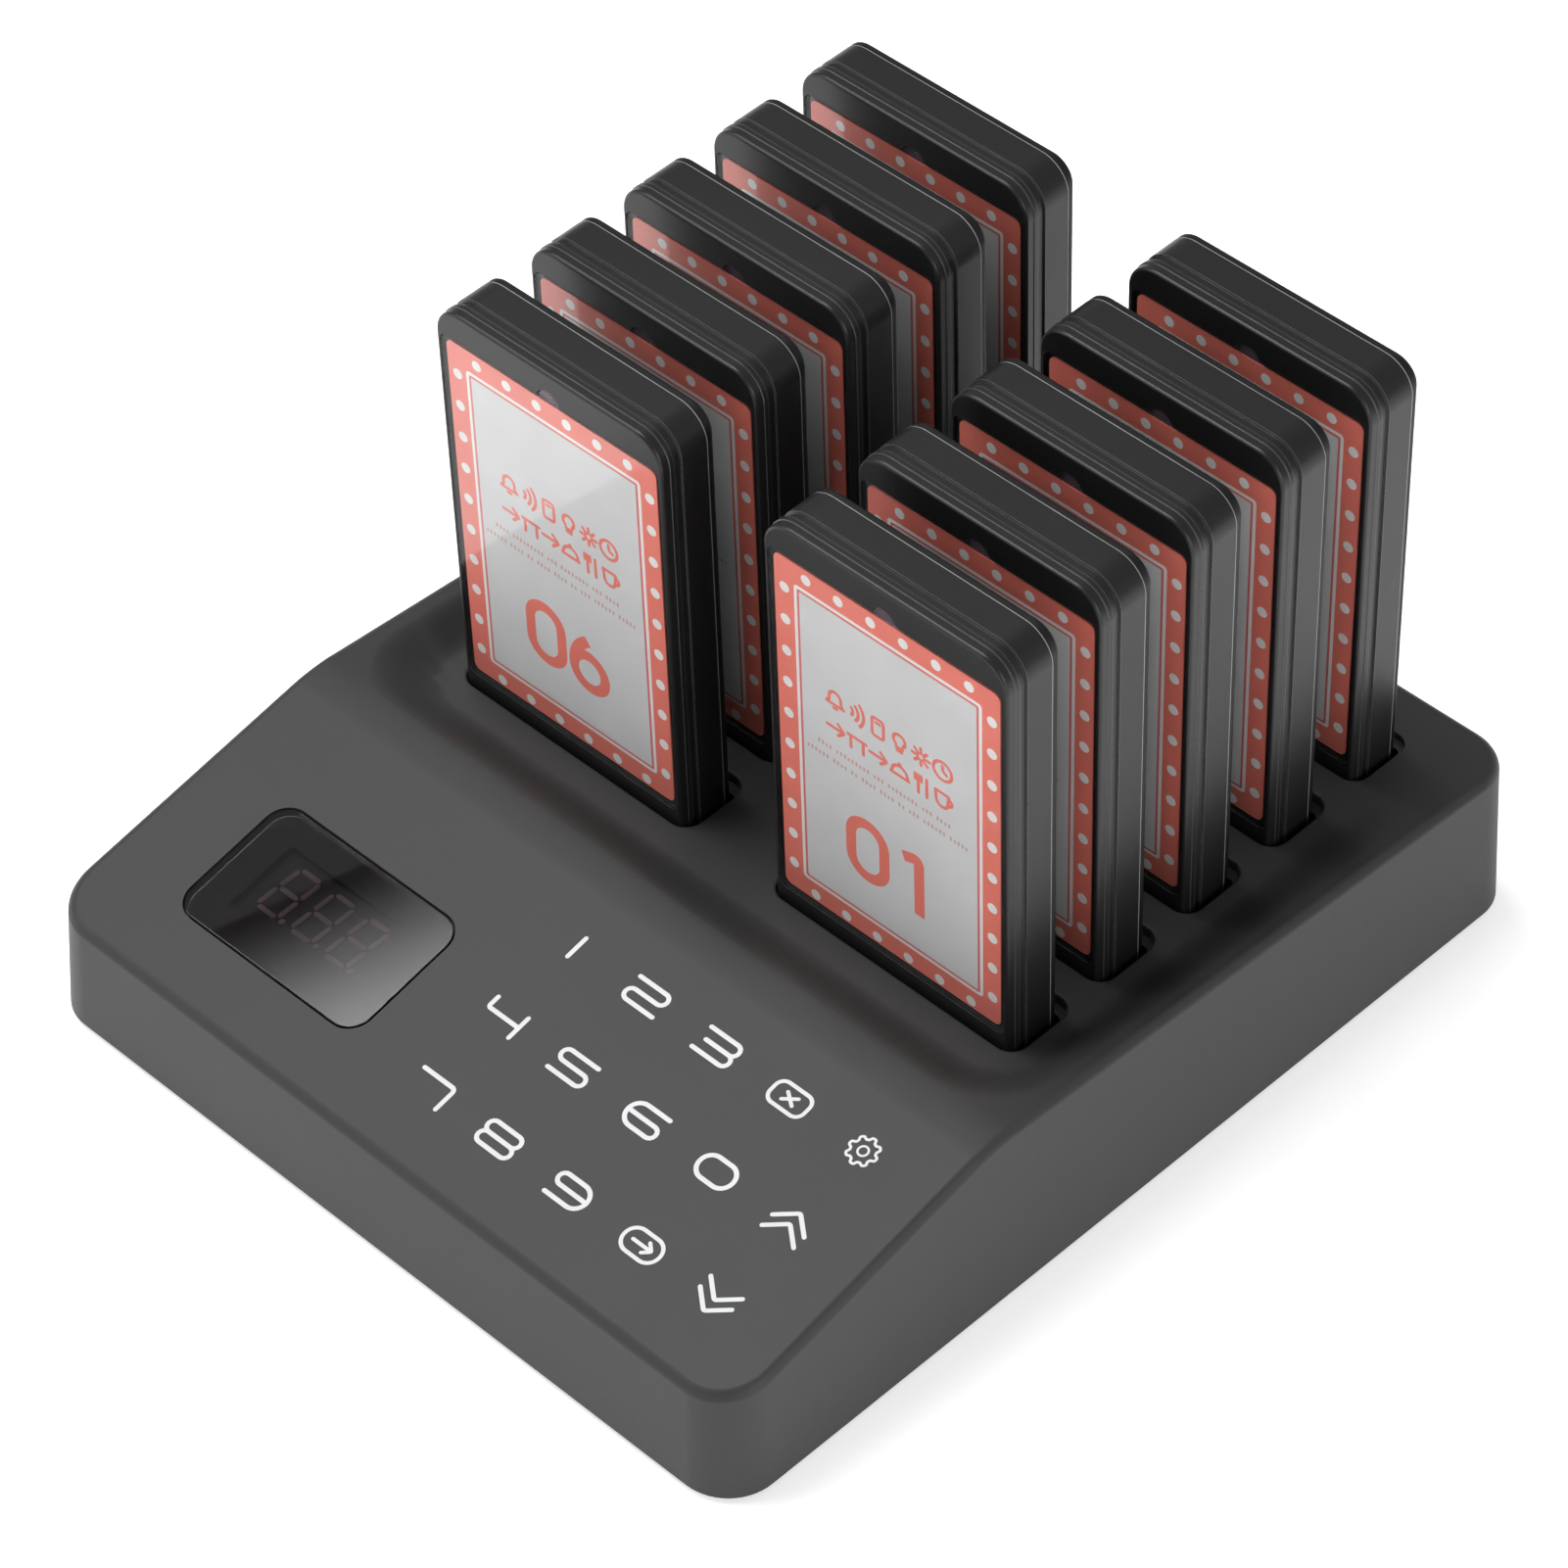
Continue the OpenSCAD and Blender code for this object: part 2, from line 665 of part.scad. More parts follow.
// Circuit board, battery, vibration motor, light guide and charging contacts
module pager_electronics(n) {
    board_y = front_wall + 2.6;
    board_low = 0.28 * pager_h;
    board_top = pager_h - 8;
    behind = board_y + 1.2 + fit_gap;
    color("#1f6b45") at_pager(n) {
        block(0, pager_w - 9, board_y, board_y + 1.2, board_low, board_top);
        block(4, 34, behind, behind + 4.2, board_low + 4, board_low + 48);
        translate([-14, behind + 3, board_top - 8]) rotate([0, 90, 0]) cylinder(r = 2.8, h = 12);
        translate([0, label_recess, led_z]) rotate([-90, 0, 0])
            cylinder(r = led_r, h = board_y - label_recess - fit_gap);
        for (x = [-1, 1]) {
            block(x * pin_x, contact_w, pin_y - contact_d / 2, pin_y + contact_d / 2, 0, pager_wall + 0.6);
            block(x * pin_x, 2, board_y + 0.4, pin_y, pager_wall + 0.6, pager_wall + 1);
            block(x * pin_x, 2, board_y + 0.4, board_y + 0.8, pager_wall + 0.8, board_low - fit_gap);
        }
    }
}

top_cover();
bottom_cover();
slot_cradle(-1);  // slot_cradle_left
slot_cradle(1);  // slot_cradle_right
charging_boards();
charging_pins();
display_window();
display_module();
display_board();
touch_board();
main_board();
radio_module();
antenna();
buzzer();
power_inlet();
ribbon_cable();
charging_harness();
rubber_feet();
case_screws();
board_screws();
for (n = [1:COUNT]) {
    pager_front_case(n);
    pager_back_case(n);
    pager_label_card(n);
    pager_electronics(n);
}
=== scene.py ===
"""Guest pager set: the looks of a charging dock with a key panel and ten upright pagers."""

import json
import logging
import math
from collections.abc import Callable, Iterator, Sequence
from contextlib import contextmanager
from dataclasses import dataclass, field, replace
from enum import Enum

import bmesh
import bpy
from mathutils import Matrix, Vector


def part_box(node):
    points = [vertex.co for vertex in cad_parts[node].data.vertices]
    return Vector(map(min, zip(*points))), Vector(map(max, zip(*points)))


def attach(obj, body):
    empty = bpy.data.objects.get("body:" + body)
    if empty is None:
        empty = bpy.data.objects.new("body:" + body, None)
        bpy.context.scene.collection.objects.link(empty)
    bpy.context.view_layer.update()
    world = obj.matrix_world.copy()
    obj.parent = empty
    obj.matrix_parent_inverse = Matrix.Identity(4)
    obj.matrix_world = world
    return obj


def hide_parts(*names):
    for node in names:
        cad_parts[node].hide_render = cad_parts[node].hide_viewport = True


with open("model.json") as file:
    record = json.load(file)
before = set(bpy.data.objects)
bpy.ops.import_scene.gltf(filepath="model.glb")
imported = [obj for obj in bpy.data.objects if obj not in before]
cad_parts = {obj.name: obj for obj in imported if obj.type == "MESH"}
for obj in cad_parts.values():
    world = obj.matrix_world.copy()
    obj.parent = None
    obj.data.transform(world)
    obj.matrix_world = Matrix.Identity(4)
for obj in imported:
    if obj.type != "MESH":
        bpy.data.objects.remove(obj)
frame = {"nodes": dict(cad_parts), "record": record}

MM = 0.001
NOISE_LOW, NOISE_HIGH = 0.3, 0.7  # where most of a noise pattern lies
MIX_INPUTS, MIX_RESULT = (0, 6, 7), 2  # the colour sockets of a Mix node
WHITE_LIGHT = (1, 1, 1, 1)
BLACK = (0, 0, 0, 1)
log = logging.getLogger("pager_set")

Point = tuple[float, float]


# ---------------------------------------------------------------- finishes


class Socket(Enum):
    """Kinds of socket that a shared node group takes or gives."""

    NUMBER = "NodeSocketFloat"
    COLOUR = "NodeSocketColor"


class Tree:
    """A thin hand for wiring nodes in a material or in a group."""

    def __init__(self, nodes: bpy.types.NodeTree) -> None:
        """Keeps the tree that the nodes go in."""
        self.tree = nodes

    def add(self, kind: str, **settings: object) -> bpy.types.Node:
        """Adds a node and sets its properties by name.

        Args:
            kind: Blender's name of the node type.
            settings: properties of the node.

        Returns:
            The new node.
        """
        node = self.tree.nodes.new(kind)
        for name, value in settings.items():
            setattr(node, name, value)
        return node

    def put(self, target: bpy.types.NodeSocket, value: object) -> None:
        """Sets an input, or links it where the value is a socket."""
        if isinstance(value, bpy.types.NodeSocket):
            self.tree.links.new(value, target)
        else:
            target.default_value = value

    def feed(self, node: bpy.types.Node, **values: object) -> bpy.types.Node:
        """Sets or links a node's inputs by name.

        Args:
            node: the node to feed.
            values: input names with _ for a space, and numbers, colours or sockets.

        Returns:
            The same node.
        """
        for name, value in values.items():
            self.put(node.inputs[name.replace("_", " ")], value)
        return node

    def here(self) -> bpy.types.NodeSocket:
        """The place on the piece, in metres."""
        return self.add("ShaderNodeTexCoord").outputs["Object"]

    def front_only(self) -> bpy.types.NodeSocket:
        """1 on the front of a face and 0 on its back."""
        return self.math("SUBTRACT", 1.0, self.add("ShaderNodeNewGeometry").outputs["Backfacing"])

    def math(self, operation: str, *values: object) -> bpy.types.NodeSocket:
        """A Math node on numbers or sockets, in order."""
        node = self.add("ShaderNodeMath", operation=operation)
        for target, value in zip(node.inputs, values):
            self.put(target, value)
        return node.outputs[0]

    def spread(self, value: bpy.types.NodeSocket, low: float, high: float,
               to_low: float = 0.0, to_high: float = 1.0) -> bpy.types.NodeSocket:
        """Maps a value from one range to another, and clamps it."""
        node = self.add("ShaderNodeMapRange")
        self.feed(node, Value=value, From_Min=low, From_Max=high, To_Min=to_low, To_Max=to_high)
        return node.outputs["Result"]

    def sway(self, noise: bpy.types.NodeSocket, low: float = 0.0, high: float = 1.0) -> bpy.types.NodeSocket:
        """Maps most of a noise pattern to a range."""
        return self.spread(noise, NOISE_LOW, NOISE_HIGH, low, high)

    def blend(self, factor: object, one: object, two: object) -> bpy.types.NodeSocket:
        """Mixes two colours by a factor."""
        node = self.add("ShaderNodeMix", data_type="RGBA")
        for place, value in zip(MIX_INPUTS, (factor, one, two)):
            self.put(node.inputs[place], value)
        return node.outputs[MIX_RESULT]

    def lit(self, colour: bpy.types.NodeSocket, change: bpy.types.NodeSocket) -> bpy.types.NodeSocket:
        """A colour made lighter or darker by a share."""
        node = self.add("ShaderNodeHueSaturation")
        return self.feed(node, Color=colour, Value=self.math("ADD", change, 1.0)).outputs[0]

    def noise(self, where: bpy.types.NodeSocket, scale: object, detail: float) -> bpy.types.NodeSocket:
        """A noise pattern at a place, with about this many cells to the metre."""
        node = self.add("ShaderNodeTexNoise")
        return self.feed(node, Vector=where, Scale=scale, Detail=detail).outputs["Fac"]


def new_group(name: str, takes: Sequence[tuple[str, Socket, object]]
              ) -> tuple[Tree, bpy.types.Node, bpy.types.Node]:
    """Starts a shared node group that gives a colour, a roughness and a bump height.

    Args:
        name: the group's name.
        takes: name, kind and default of each input.

    Returns:
        The group's tree, its input node and its output node.
    """
    tree = bpy.data.node_groups.new(name, "ShaderNodeTree")
    for label, kind, default in takes:
        socket = tree.interface.new_socket(label, in_out="INPUT", socket_type=kind.value)
        socket.default_value = default
    for label, kind in (("Colour", Socket.COLOUR), ("Roughness", Socket.NUMBER), ("Height", Socket.NUMBER)):
        tree.interface.new_socket(label, in_out="OUTPUT", socket_type=kind.value)
    hand = Tree(tree)
    return hand, hand.add("NodeGroupInput"), hand.add("NodeGroupOutput")


def moulded_group() -> bpy.types.NodeTree:
    """Moulded plastic: spark-eroded grain, faint clouds of colour and gloss, and lighter edges that are
    partly rubbed wear and, on the pagers, painted highlights.
    """
    hand, given, made = new_group("moulded_plastic", [
        ("Colour", Socket.COLOUR, (0.1, 0.1, 0.1, 1)), ("Worn Colour", Socket.COLOUR, (0.2, 0.2, 0.2, 1)),
        ("Roughness", Socket.NUMBER, 0.5), ("Grain Scale", Socket.NUMBER, 3000.0),
        ("Cloud", Socket.NUMBER, 0.1), ("Wear", Socket.NUMBER, 0.3), ("Edge", Socket.NUMBER, 0.0004)])
    where, take = hand.here(), given.outputs
    grain = hand.noise(where, take["Grain Scale"], 3)
    clouds = hand.noise(where, 22, 4)
    edge_patches = hand.noise(where, 160, 3)
    bevel = hand.feed(hand.add("ShaderNodeBevel", samples=4), Radius=take["Edge"])
    turn = hand.add("ShaderNodeVectorMath", operation="DOT_PRODUCT")
    hand.put(turn.inputs[0], bevel.outputs[0])
    hand.put(turn.inputs[1], hand.add("ShaderNodeNewGeometry").outputs["Normal"])
    edge = hand.spread(turn.outputs["Value"], 0.99, 0.82)
    # lighter edges: partly rubbed wear and partly painted highlights, strongest on the pagers
    wear_and_highlight = hand.math("MULTIPLY", hand.math("MULTIPLY", edge, take["Wear"]),
                     hand.spread(edge_patches, 0.35, 0.65, 0.35, 1))
    cloud = hand.math("MULTIPLY", hand.sway(clouds, -1, 1), take["Cloud"])
    hand.feed(made, Colour=hand.blend(wear_and_highlight, hand.lit(take["Colour"], cloud), take["Worn Colour"]))
    rough = hand.math("ADD", take["Roughness"], hand.math("MULTIPLY", cloud, 0.4))
    rough = hand.math("ADD", rough, hand.sway(grain, -0.03, 0.03))
    hand.feed(made, Roughness=hand.math("SUBTRACT", rough, hand.math("MULTIPLY", wear_and_highlight, 0.12)), Height=grain)
    return hand.tree


def printed_group() -> bpy.types.NodeTree:
    """Printed card: a flat ink with paper tooth and slight unevenness."""
    hand, given, made = new_group("printed_card", [
        ("Colour", Socket.COLOUR, WHITE_LIGHT), ("Roughness", Socket.NUMBER, 0.5),
        ("Unevenness", Socket.NUMBER, 0.05)])
    where, take = hand.here(), given.outputs
    tooth = hand.noise(where, 5000, 2)
    patch = hand.noise(where, 90, 3)
    change = hand.math("MULTIPLY", hand.sway(patch, -1, 1), take["Unevenness"])
    hand.feed(made, Colour=hand.lit(take["Colour"], change), Height=tooth,
              Roughness=hand.math("ADD", take["Roughness"], hand.sway(tooth, -0.04, 0.04)))
    return hand.tree


@dataclass(frozen=True)
class MouldedPlastic:
    """A moulded plastic finish. Colours are linear."""

    name: str
    colour: tuple[float, float, float]
    # edge colour and its amount: rubbed wear, and on the pagers painted highlights
    wear_and_highlight: tuple[float, float, float]
    roughness: float
    grain: float = 3000.0
    bump: float = 0.00001
    cloud: float = 0.06
    wear_and_highlight_amount: float = 0.35
    edge: float = 0.0004
    specular: float = 0.5

    def make(self, groups: "Groups") -> bpy.types.Material:
        """Builds the material from the moulded plastic group."""
        material, hand, shader = start_material(self.name)
        effect = hand.add("ShaderNodeGroup", node_tree=groups.moulded)
        hand.feed(effect, Colour=(*self.colour, 1), Worn_Colour=(*self.wear_and_highlight, 1), Roughness=self.roughness,
                  Grain_Scale=self.grain, Cloud=self.cloud, Wear=self.wear_and_highlight_amount, Edge=self.edge)
        finish_surface(hand, shader, effect, self.bump)
        shader.inputs["Specular IOR Level"].default_value = self.specular
        return material


@dataclass(frozen=True)
class PrintedInk:
    """An ink or a white on the printed card, or on the panel."""

    name: str
    colour: tuple[float, float, float]
    roughness: float = 0.45
    unevenness: float = 0.03
    bump: float = 0.000004

    def make(self, groups: "Groups") -> bpy.types.Material:
        """Builds the material from the printed card group."""
        material, hand, shader = start_material(self.name)
        effect = hand.add("ShaderNodeGroup", node_tree=groups.printed)
        hand.feed(effect, Colour=(*self.colour, 1), Roughness=self.roughness, Unevenness=self.unevenness)
        finish_surface(hand, shader, effect, self.bump)
        return material


@dataclass(frozen=True)
class ClearFilm:
    """Thin clear plastic: it shows what is under it and mirrors the room faintly."""

    name: str
    index: float = 1.35
    roughness: float = 0.08

    def make(self, groups: "Groups") -> bpy.types.Material:
        """Builds the film as a mirror that lets most of the light by."""
        material, hand, shader = start_material(self.name)
        fresnel = hand.feed(hand.add("ShaderNodeFresnel"), IOR=self.index)
        smear = hand.noise(hand.here(), 60, 3)
        facing = hand.math("MULTIPLY", fresnel.outputs[0], hand.front_only())
        hand.feed(shader, Alpha=facing, Metallic=1.0, Base_Color=(0.95, 0.96, 0.97, 1),
                  Roughness=hand.sway(smear, self.roughness * 0.7, self.roughness * 1.4))
        return material


@dataclass(frozen=True)
class SmokedGlass:
    """Dark clear plastic that shows a dim display through itself."""

    name: str
    tint: tuple[float, float, float] = (0.3, 0.28, 0.285)
    roughness: float = 0.015

    def make(self, groups: "Groups") -> bpy.types.Material:
        """Builds the smoked window with faint wipe marks in its gloss."""
        material, hand, shader = start_material(self.name)
        smear = hand.noise(hand.here(), 90, 4)
        hand.feed(shader, Base_Color=(*self.tint, 1), Transmission_Weight=1.0, IOR=1.49,
                  Roughness=hand.sway(smear, self.roughness * 0.9, self.roughness * 1.1))
        return material


@dataclass(frozen=True)
class Metal:
    """Plated or tinned metal with fine scratches."""

    name: str
    colour: tuple[float, float, float]
    roughness: float = 0.32

    def make(self, groups: "Groups") -> bpy.types.Material:
        """Builds the metal with scratches in its gloss."""
        material, hand, shader = start_material(self.name)
        stretched = hand.feed(hand.add("ShaderNodeMapping"), Vector=hand.here(), Scale=(1.0, 14.0, 1.0))
        scratch = hand.noise(stretched.outputs[0], 900, 3)
        dull = (*[c * 0.8 for c in self.colour], 1)
        tone = hand.blend(hand.sway(scratch), (*self.colour, 1), dull)
        hand.feed(shader, Base_Color=tone, Metallic=1.0,
                  Roughness=hand.sway(scratch, self.roughness - 0.08, self.roughness + 0.08))
        return material


@dataclass(frozen=True)
class Groups:
    """The shared node groups."""

    moulded: bpy.types.NodeTree = field(default_factory=moulded_group)
    printed: bpy.types.NodeTree = field(default_factory=printed_group)


def start_material(name: str) -> tuple[bpy.types.Material, Tree, bpy.types.Node]:
    """Starts a node material.

    Args:
        name: the material's name.

    Returns:
        The material, a hand for its tree, and its shader.
    """
    material = bpy.data.materials.new(name)
    material.use_nodes = True
    return material, Tree(material.node_tree), material.node_tree.nodes["Principled BSDF"]


def finish_surface(hand: Tree, shader: bpy.types.Node, effect: bpy.types.Node, depth: float) -> None:
    """Feeds a shader from a group that gives a colour, a roughness and a height.

    Args:
        hand: the material's tree.
        shader: the Principled shader.
        effect: the group node.
        depth: the bump's depth in metres.
    """
    bump = hand.add("ShaderNodeBump")
    hand.feed(bump, Height=effect.outputs["Height"], Distance=depth)
    hand.feed(shader, Base_Color=effect.outputs["Colour"], Roughness=effect.outputs["Roughness"],
              Normal=bump.outputs[0])


class Finish(Enum):
    """Every finish on the object."""

    DOCK = MouldedPlastic("dock_charcoal", (0.034, 0.0342, 0.0348), (0.07, 0.07, 0.072), 0.52, 2600, 0.000012,
                          specular=0.33)
    COVER = MouldedPlastic("cover_black", (0.03, 0.03, 0.032), (0.07, 0.07, 0.07), 0.55, 1800, 0.00003)
    WELL = MouldedPlastic("well_black", (0.012, 0.012, 0.013), (0.05, 0.05, 0.05), 0.42)
    # the pager's light edge colour and strong edge amount paint highlights along its edges, well past rubbed
    # wear
    PAGER = MouldedPlastic("pager_black", (0.0105, 0.0105, 0.0108), (0.14, 0.14, 0.143), 0.36, 3600, 0.000008,
                           wear_and_highlight_amount=0.8, edge=0.00024, specular=0.38)
    # painted highlights: light bands on the pager's rim behind the parting line and on its ridges' edges
    PAINTED_RIM_HIGHLIGHT = MouldedPlastic("pager_rim_painted_highlight", (0.24, 0.24, 0.245), (0.45, 0.45, 0.45), 0.3, 3600, cloud=0.3)
    PAINTED_RIDGE_HIGHLIGHT = MouldedPlastic("pager_ridge_painted_highlight", (0.05, 0.05, 0.051), (0.12, 0.12, 0.12), 0.3, 3600,
                           cloud=0.25)
    BACK = MouldedPlastic("pager_back_black", (0.004, 0.004, 0.0043), (0.05, 0.05, 0.05), 0.5, 3600,
                          specular=0.3)
    RUBBER = MouldedPlastic("foot_rubber", (0.012, 0.012, 0.013), (0.04, 0.04, 0.04), 0.75, 1500, 0.00004)
    SLEEVE = MouldedPlastic("sleeve_black", (0.012, 0.012, 0.013), (0.05, 0.05, 0.05), 0.5)
    CABLE = MouldedPlastic("cable_grey", (0.24, 0.25, 0.27), (0.3, 0.3, 0.3), 0.5, 900)
    BLOCK = MouldedPlastic("display_block", (0.01, 0.009, 0.0095), (0.03, 0.03, 0.03), 0.35)
    BOARD = MouldedPlastic("board_green", (0.012, 0.1, 0.045), (0.1, 0.2, 0.1), 0.3, 1200, 0.00002)
    LAMP = MouldedPlastic("lamp_milk", (0.085, 0.06, 0.08), (0.08, 0.07, 0.08), 0.25)
    SEGMENT = PrintedInk("segment_rose", (0.62, 0.47, 0.47), 0.5)
    SYMBOL = PrintedInk("symbol_white", (0.67, 0.68, 0.695), 0.5)
    CORAL = PrintedInk("label_coral", (0.82, 0.205, 0.155), 0.4)
    LINE = PrintedInk("label_line", (0.7, 0.17, 0.16), 0.4)
    PALE = PrintedInk("label_pale", (0.66, 0.66, 0.665), 0.4)
    WHITE = PrintedInk("label_white", (0.82, 0.8, 0.79), 0.4)
    FAINT = PrintedInk("label_faint", (0.62, 0.36, 0.33), 0.4)
    FILM = ClearFilm("clear_film")
    SMOKED = SmokedGlass("smoked_window")
    BRASS = Metal("contact_gold", (0.72, 0.5, 0.2))
    STEEL = Metal("zinc_steel", (0.5, 0.51, 0.53))


class Palette:
    """Makes each finish's material once."""

    def __init__(self) -> None:
        """Builds the shared groups and starts with no materials."""
        self.groups = Groups()
        self.made: dict[Finish, bpy.types.Material] = {}

    def get(self, finish: Finish) -> bpy.types.Material:
        """The material of a finish."""
        if finish not in self.made:
            self.made[finish] = finish.value.make(self.groups)
        return self.made[finish]

    def dress(self, obj: bpy.types.Object, *finishes: Finish) -> bpy.types.Object:
        """Gives an object these finishes, in the order of its material slots, and keeps each face's slot."""
        while len(obj.data.materials) < len(finishes):
            obj.data.materials.append(None)
        for place, finish in enumerate(finishes):
            obj.data.materials[place] = self.get(finish)
        return obj


# ---------------------------------------------------------------- hand tools


class Part(Enum):
    """What a selection holds: its name in a mesh and in a select mode."""

    EDGES = ("edges", "EDGE")
    FACES = ("faces", "FACE")


def upright(x: float, y: float, z: float) -> Matrix:
    """Stands a flat shape up at a place, with its top towards -Y."""
    return Matrix.Translation((x, y, z)) @ Matrix.Rotation(math.pi / 2, 4, "X")


def length_along(edge: bmesh.types.BMEdge, axis: int) -> float:
    """How far an edge runs along an axis."""
    return abs(edge.verts[0].co[axis] - edge.verts[1].co[axis])


class Bench:
    """The modelling tools, in millimetres until a piece is seated."""

    @staticmethod
    def clear() -> None:
        """Deselects every object."""
        bpy.ops.object.select_all(action="DESELECT")

    @staticmethod
    def take(*objects: bpy.types.Object) -> bpy.types.Object:
        """Selects only these objects and makes the first one active."""
        Bench.clear()
        for obj in objects:
            obj.select_set(True)
        bpy.context.view_layer.objects.active = objects[0]
        return objects[0]

    @staticmethod
    def started(name: str) -> bpy.types.Object:
        """Names the new primitive, and moves its place and size into its mesh."""
        obj = bpy.context.object
        obj.name = obj.data.name = name
        bpy.ops.object.transform_apply(location=True, rotation=True, scale=True)
        return obj

    @staticmethod
    def link(name: str, data: bpy.types.ID) -> bpy.types.Object:
        """A new object in the scene that holds this data."""
        obj = bpy.data.objects.new(name, data)
        bpy.context.scene.collection.objects.link(obj)
        return obj

    @staticmethod
    def box(name: str, low: Sequence[float], high: Sequence[float]) -> bpy.types.Object:
        """A block between two corners, as a start for a piece.

        Args:
            name: the object's name.
            low: its lowest corner.
            high: its highest corner.

        Returns:
            The block, with its size in its mesh.
        """
        Bench.clear()
        middle = [(a + b) / 2 for a, b in zip(low, high)]
        bpy.ops.mesh.primitive_cube_add(size=1, location=middle, scale=[b - a for a, b in zip(low, high)])
        return Bench.started(name)

    @staticmethod
    def rod(name: str, radius: float, low: float, high: float, sides: int = 32) -> bpy.types.Object:
        """A round bar on the Z axis, as a start for a piece."""
        Bench.clear()
        bpy.ops.mesh.primitive_cylinder_add(vertices=sides, radius=radius, depth=high - low,
                                            location=(0, 0, (low + high) / 2))
        return Bench.started(name)

    @staticmethod
    @contextmanager
    def editing(obj: bpy.types.Object) -> Iterator[None]:
        """Opens an object in edit mode with nothing selected, and closes it after."""
        Bench.take(obj)
        bpy.ops.object.mode_set(mode="EDIT")
        bpy.ops.mesh.select_all(action="DESELECT")
        try:
            yield
        finally:
            bpy.ops.object.mode_set(mode="OBJECT")

    @staticmethod
    def pick(obj: bpy.types.Object, part: Part, test: Callable[[object], bool]) -> None:
        """Selects the edges or faces that pass a test, in edit mode.

        Args:
            obj: the object in edit mode.
            part: what to select.
            test: says whether one of them is selected.
        """
        items, mode = part.value
        bpy.ops.mesh.select_mode(type=mode)
        bpy.ops.mesh.select_all(action="DESELECT")
        shape = bmesh.from_edit_mesh(obj.data)
        for item in [item for item in getattr(shape, items) if test(item)]:
            item.select_set(True)
        bmesh.update_edit_mesh(obj.data)

    @staticmethod
    def grow(move: Sequence[float], size: Sequence[float], about: Sequence[float]) -> None:
        """Extrudes the selected faces, and scales the new ones about a point."""
        bpy.ops.mesh.extrude_region_move(TRANSFORM_OT_translate={"value": move})
        bpy.ops.transform.resize(value=size, center_override=about)

    @staticmethod
    def cut(point: Sequence[float], normal: Sequence[float]) -> None:
        """Cuts the mesh in edit mode with a plane, drops the normal's side, and closes the cut."""
        bpy.ops.mesh.select_all(action="SELECT")
        bpy.ops.mesh.bisect(plane_co=point, plane_no=normal, use_fill=True, clear_outer=True)

    @staticmethod
    def round_edges(obj: bpy.types.Object, test: Callable[[object], bool],
                    radius: float, segments: int) -> None:
        """Rounds the edges that pass a test, in edit mode."""
        Bench.pick(obj, Part.EDGES, test)
        bpy.ops.mesh.bevel(offset=radius, segments=segments, affect="EDGES", profile=0.5)

    @staticmethod
    def modify(obj: bpy.types.Object, kind: str, **settings: object) -> None:
        """Adds a modifier with these settings and applies it."""
        Bench.take(obj)
        modifier = obj.modifiers.new(kind.lower(), kind)
        for name, value in settings.items():
            setattr(modifier, name, value)
        bpy.ops.object.modifier_apply(modifier=modifier.name)

    @staticmethod
    def soften(obj: bpy.types.Object, width: float) -> None:
        """Bevels every sharp edge a little."""
        Bench.modify(obj, "BEVEL", width=width, segments=2, limit_method="ANGLE",
                     angle_limit=math.radians(50))

    @staticmethod
    def carve(obj: bpy.types.Object, *cutters: bpy.types.Object) -> None:
        """Cuts the cutters out of an object, and removes them."""
        for cutter in cutters:
            Bench.modify(obj, "BOOLEAN", operation="DIFFERENCE", solver="EXACT", object=cutter)
            bpy.data.objects.remove(cutter, do_unlink=True)

    @staticmethod
    def copies(obj: bpy.types.Object, places: Sequence[Matrix], name: str) -> bpy.types.Object:
        """Repeats an object at several places and joins the copies into one.

        Args:
            obj: the object to repeat, which is used up.
            places: where each copy goes.
            name: the joined object's name.

        Returns:
            The joined object.
        """
        made = []
        for place in places:
            made.append(Bench.link(name, obj.data.copy()))
            made[-1].data.transform(place)
        bpy.data.objects.remove(obj, do_unlink=True)
        return Bench.joined(name, made)

    @staticmethod
    def joined(name: str, objects: Sequence[bpy.types.Object]) -> bpy.types.Object:
        """Joins objects into the first one."""
        Bench.take(*objects)
        if len(objects) > 1:
            bpy.ops.object.join()
        objects[0].name = objects[0].data.name = name
        return objects[0]

    @staticmethod
    def smooth(obj: bpy.types.Object, degrees: float = 35.0, weigh: bool = True) -> None:
        """Smooths the faces that meet at less than an angle, and lets large flat faces lead the shading."""
        Bench.take(obj)
        bpy.ops.object.shade_smooth_by_angle(angle=math.radians(degrees))
        if weigh:
            Bench.modify(obj, "WEIGHTED_NORMAL", keep_sharp=True, weight=80)

    @staticmethod
    def seat(obj: bpy.types.Object, place: Matrix) -> bpy.types.Object:
        """Puts a finished piece in its place, in metres, with its place in its mesh."""
        obj.matrix_world = Matrix.Scale(MM, 4) @ place
        Bench.take(obj)
        bpy.ops.object.transform_apply(location=True, rotation=True, scale=True)
        return obj

    @staticmethod
    def plate(name: str, width: float, height: float, radius: float, low: float, high: float,
              corner_steps: int = 8, edge: float = 0.0, edge_steps: int = 2) -> bpy.types.Object:
        """A flat plate with rounded corners, lying in X and Y.

        Args:
            name: the object's name.
            width: size in X.
            height: size in Y.
            radius: corner radius.
            low: bottom in Z.
            high: top in Z.
            corner_steps: faces to a corner.
            edge: rounding of the top's edge.
            edge_steps: faces to that rounding.

        Returns:
            The plate.
        """
        obj = Bench.box(name, (-width / 2, -height / 2, low), (width / 2, height / 2, high))
        with Bench.editing(obj):
            Bench.round_edges(obj, lambda e: length_along(e, 2) > (high - low) / 2, radius, corner_steps)
            if edge:
                Bench.round_edges(obj, lambda e: min(v.co.z for v in e.verts) > high - edge / 2
                                  and any(abs(f.normal.z) < 0.5 for f in e.link_faces), edge, edge_steps)
        return obj


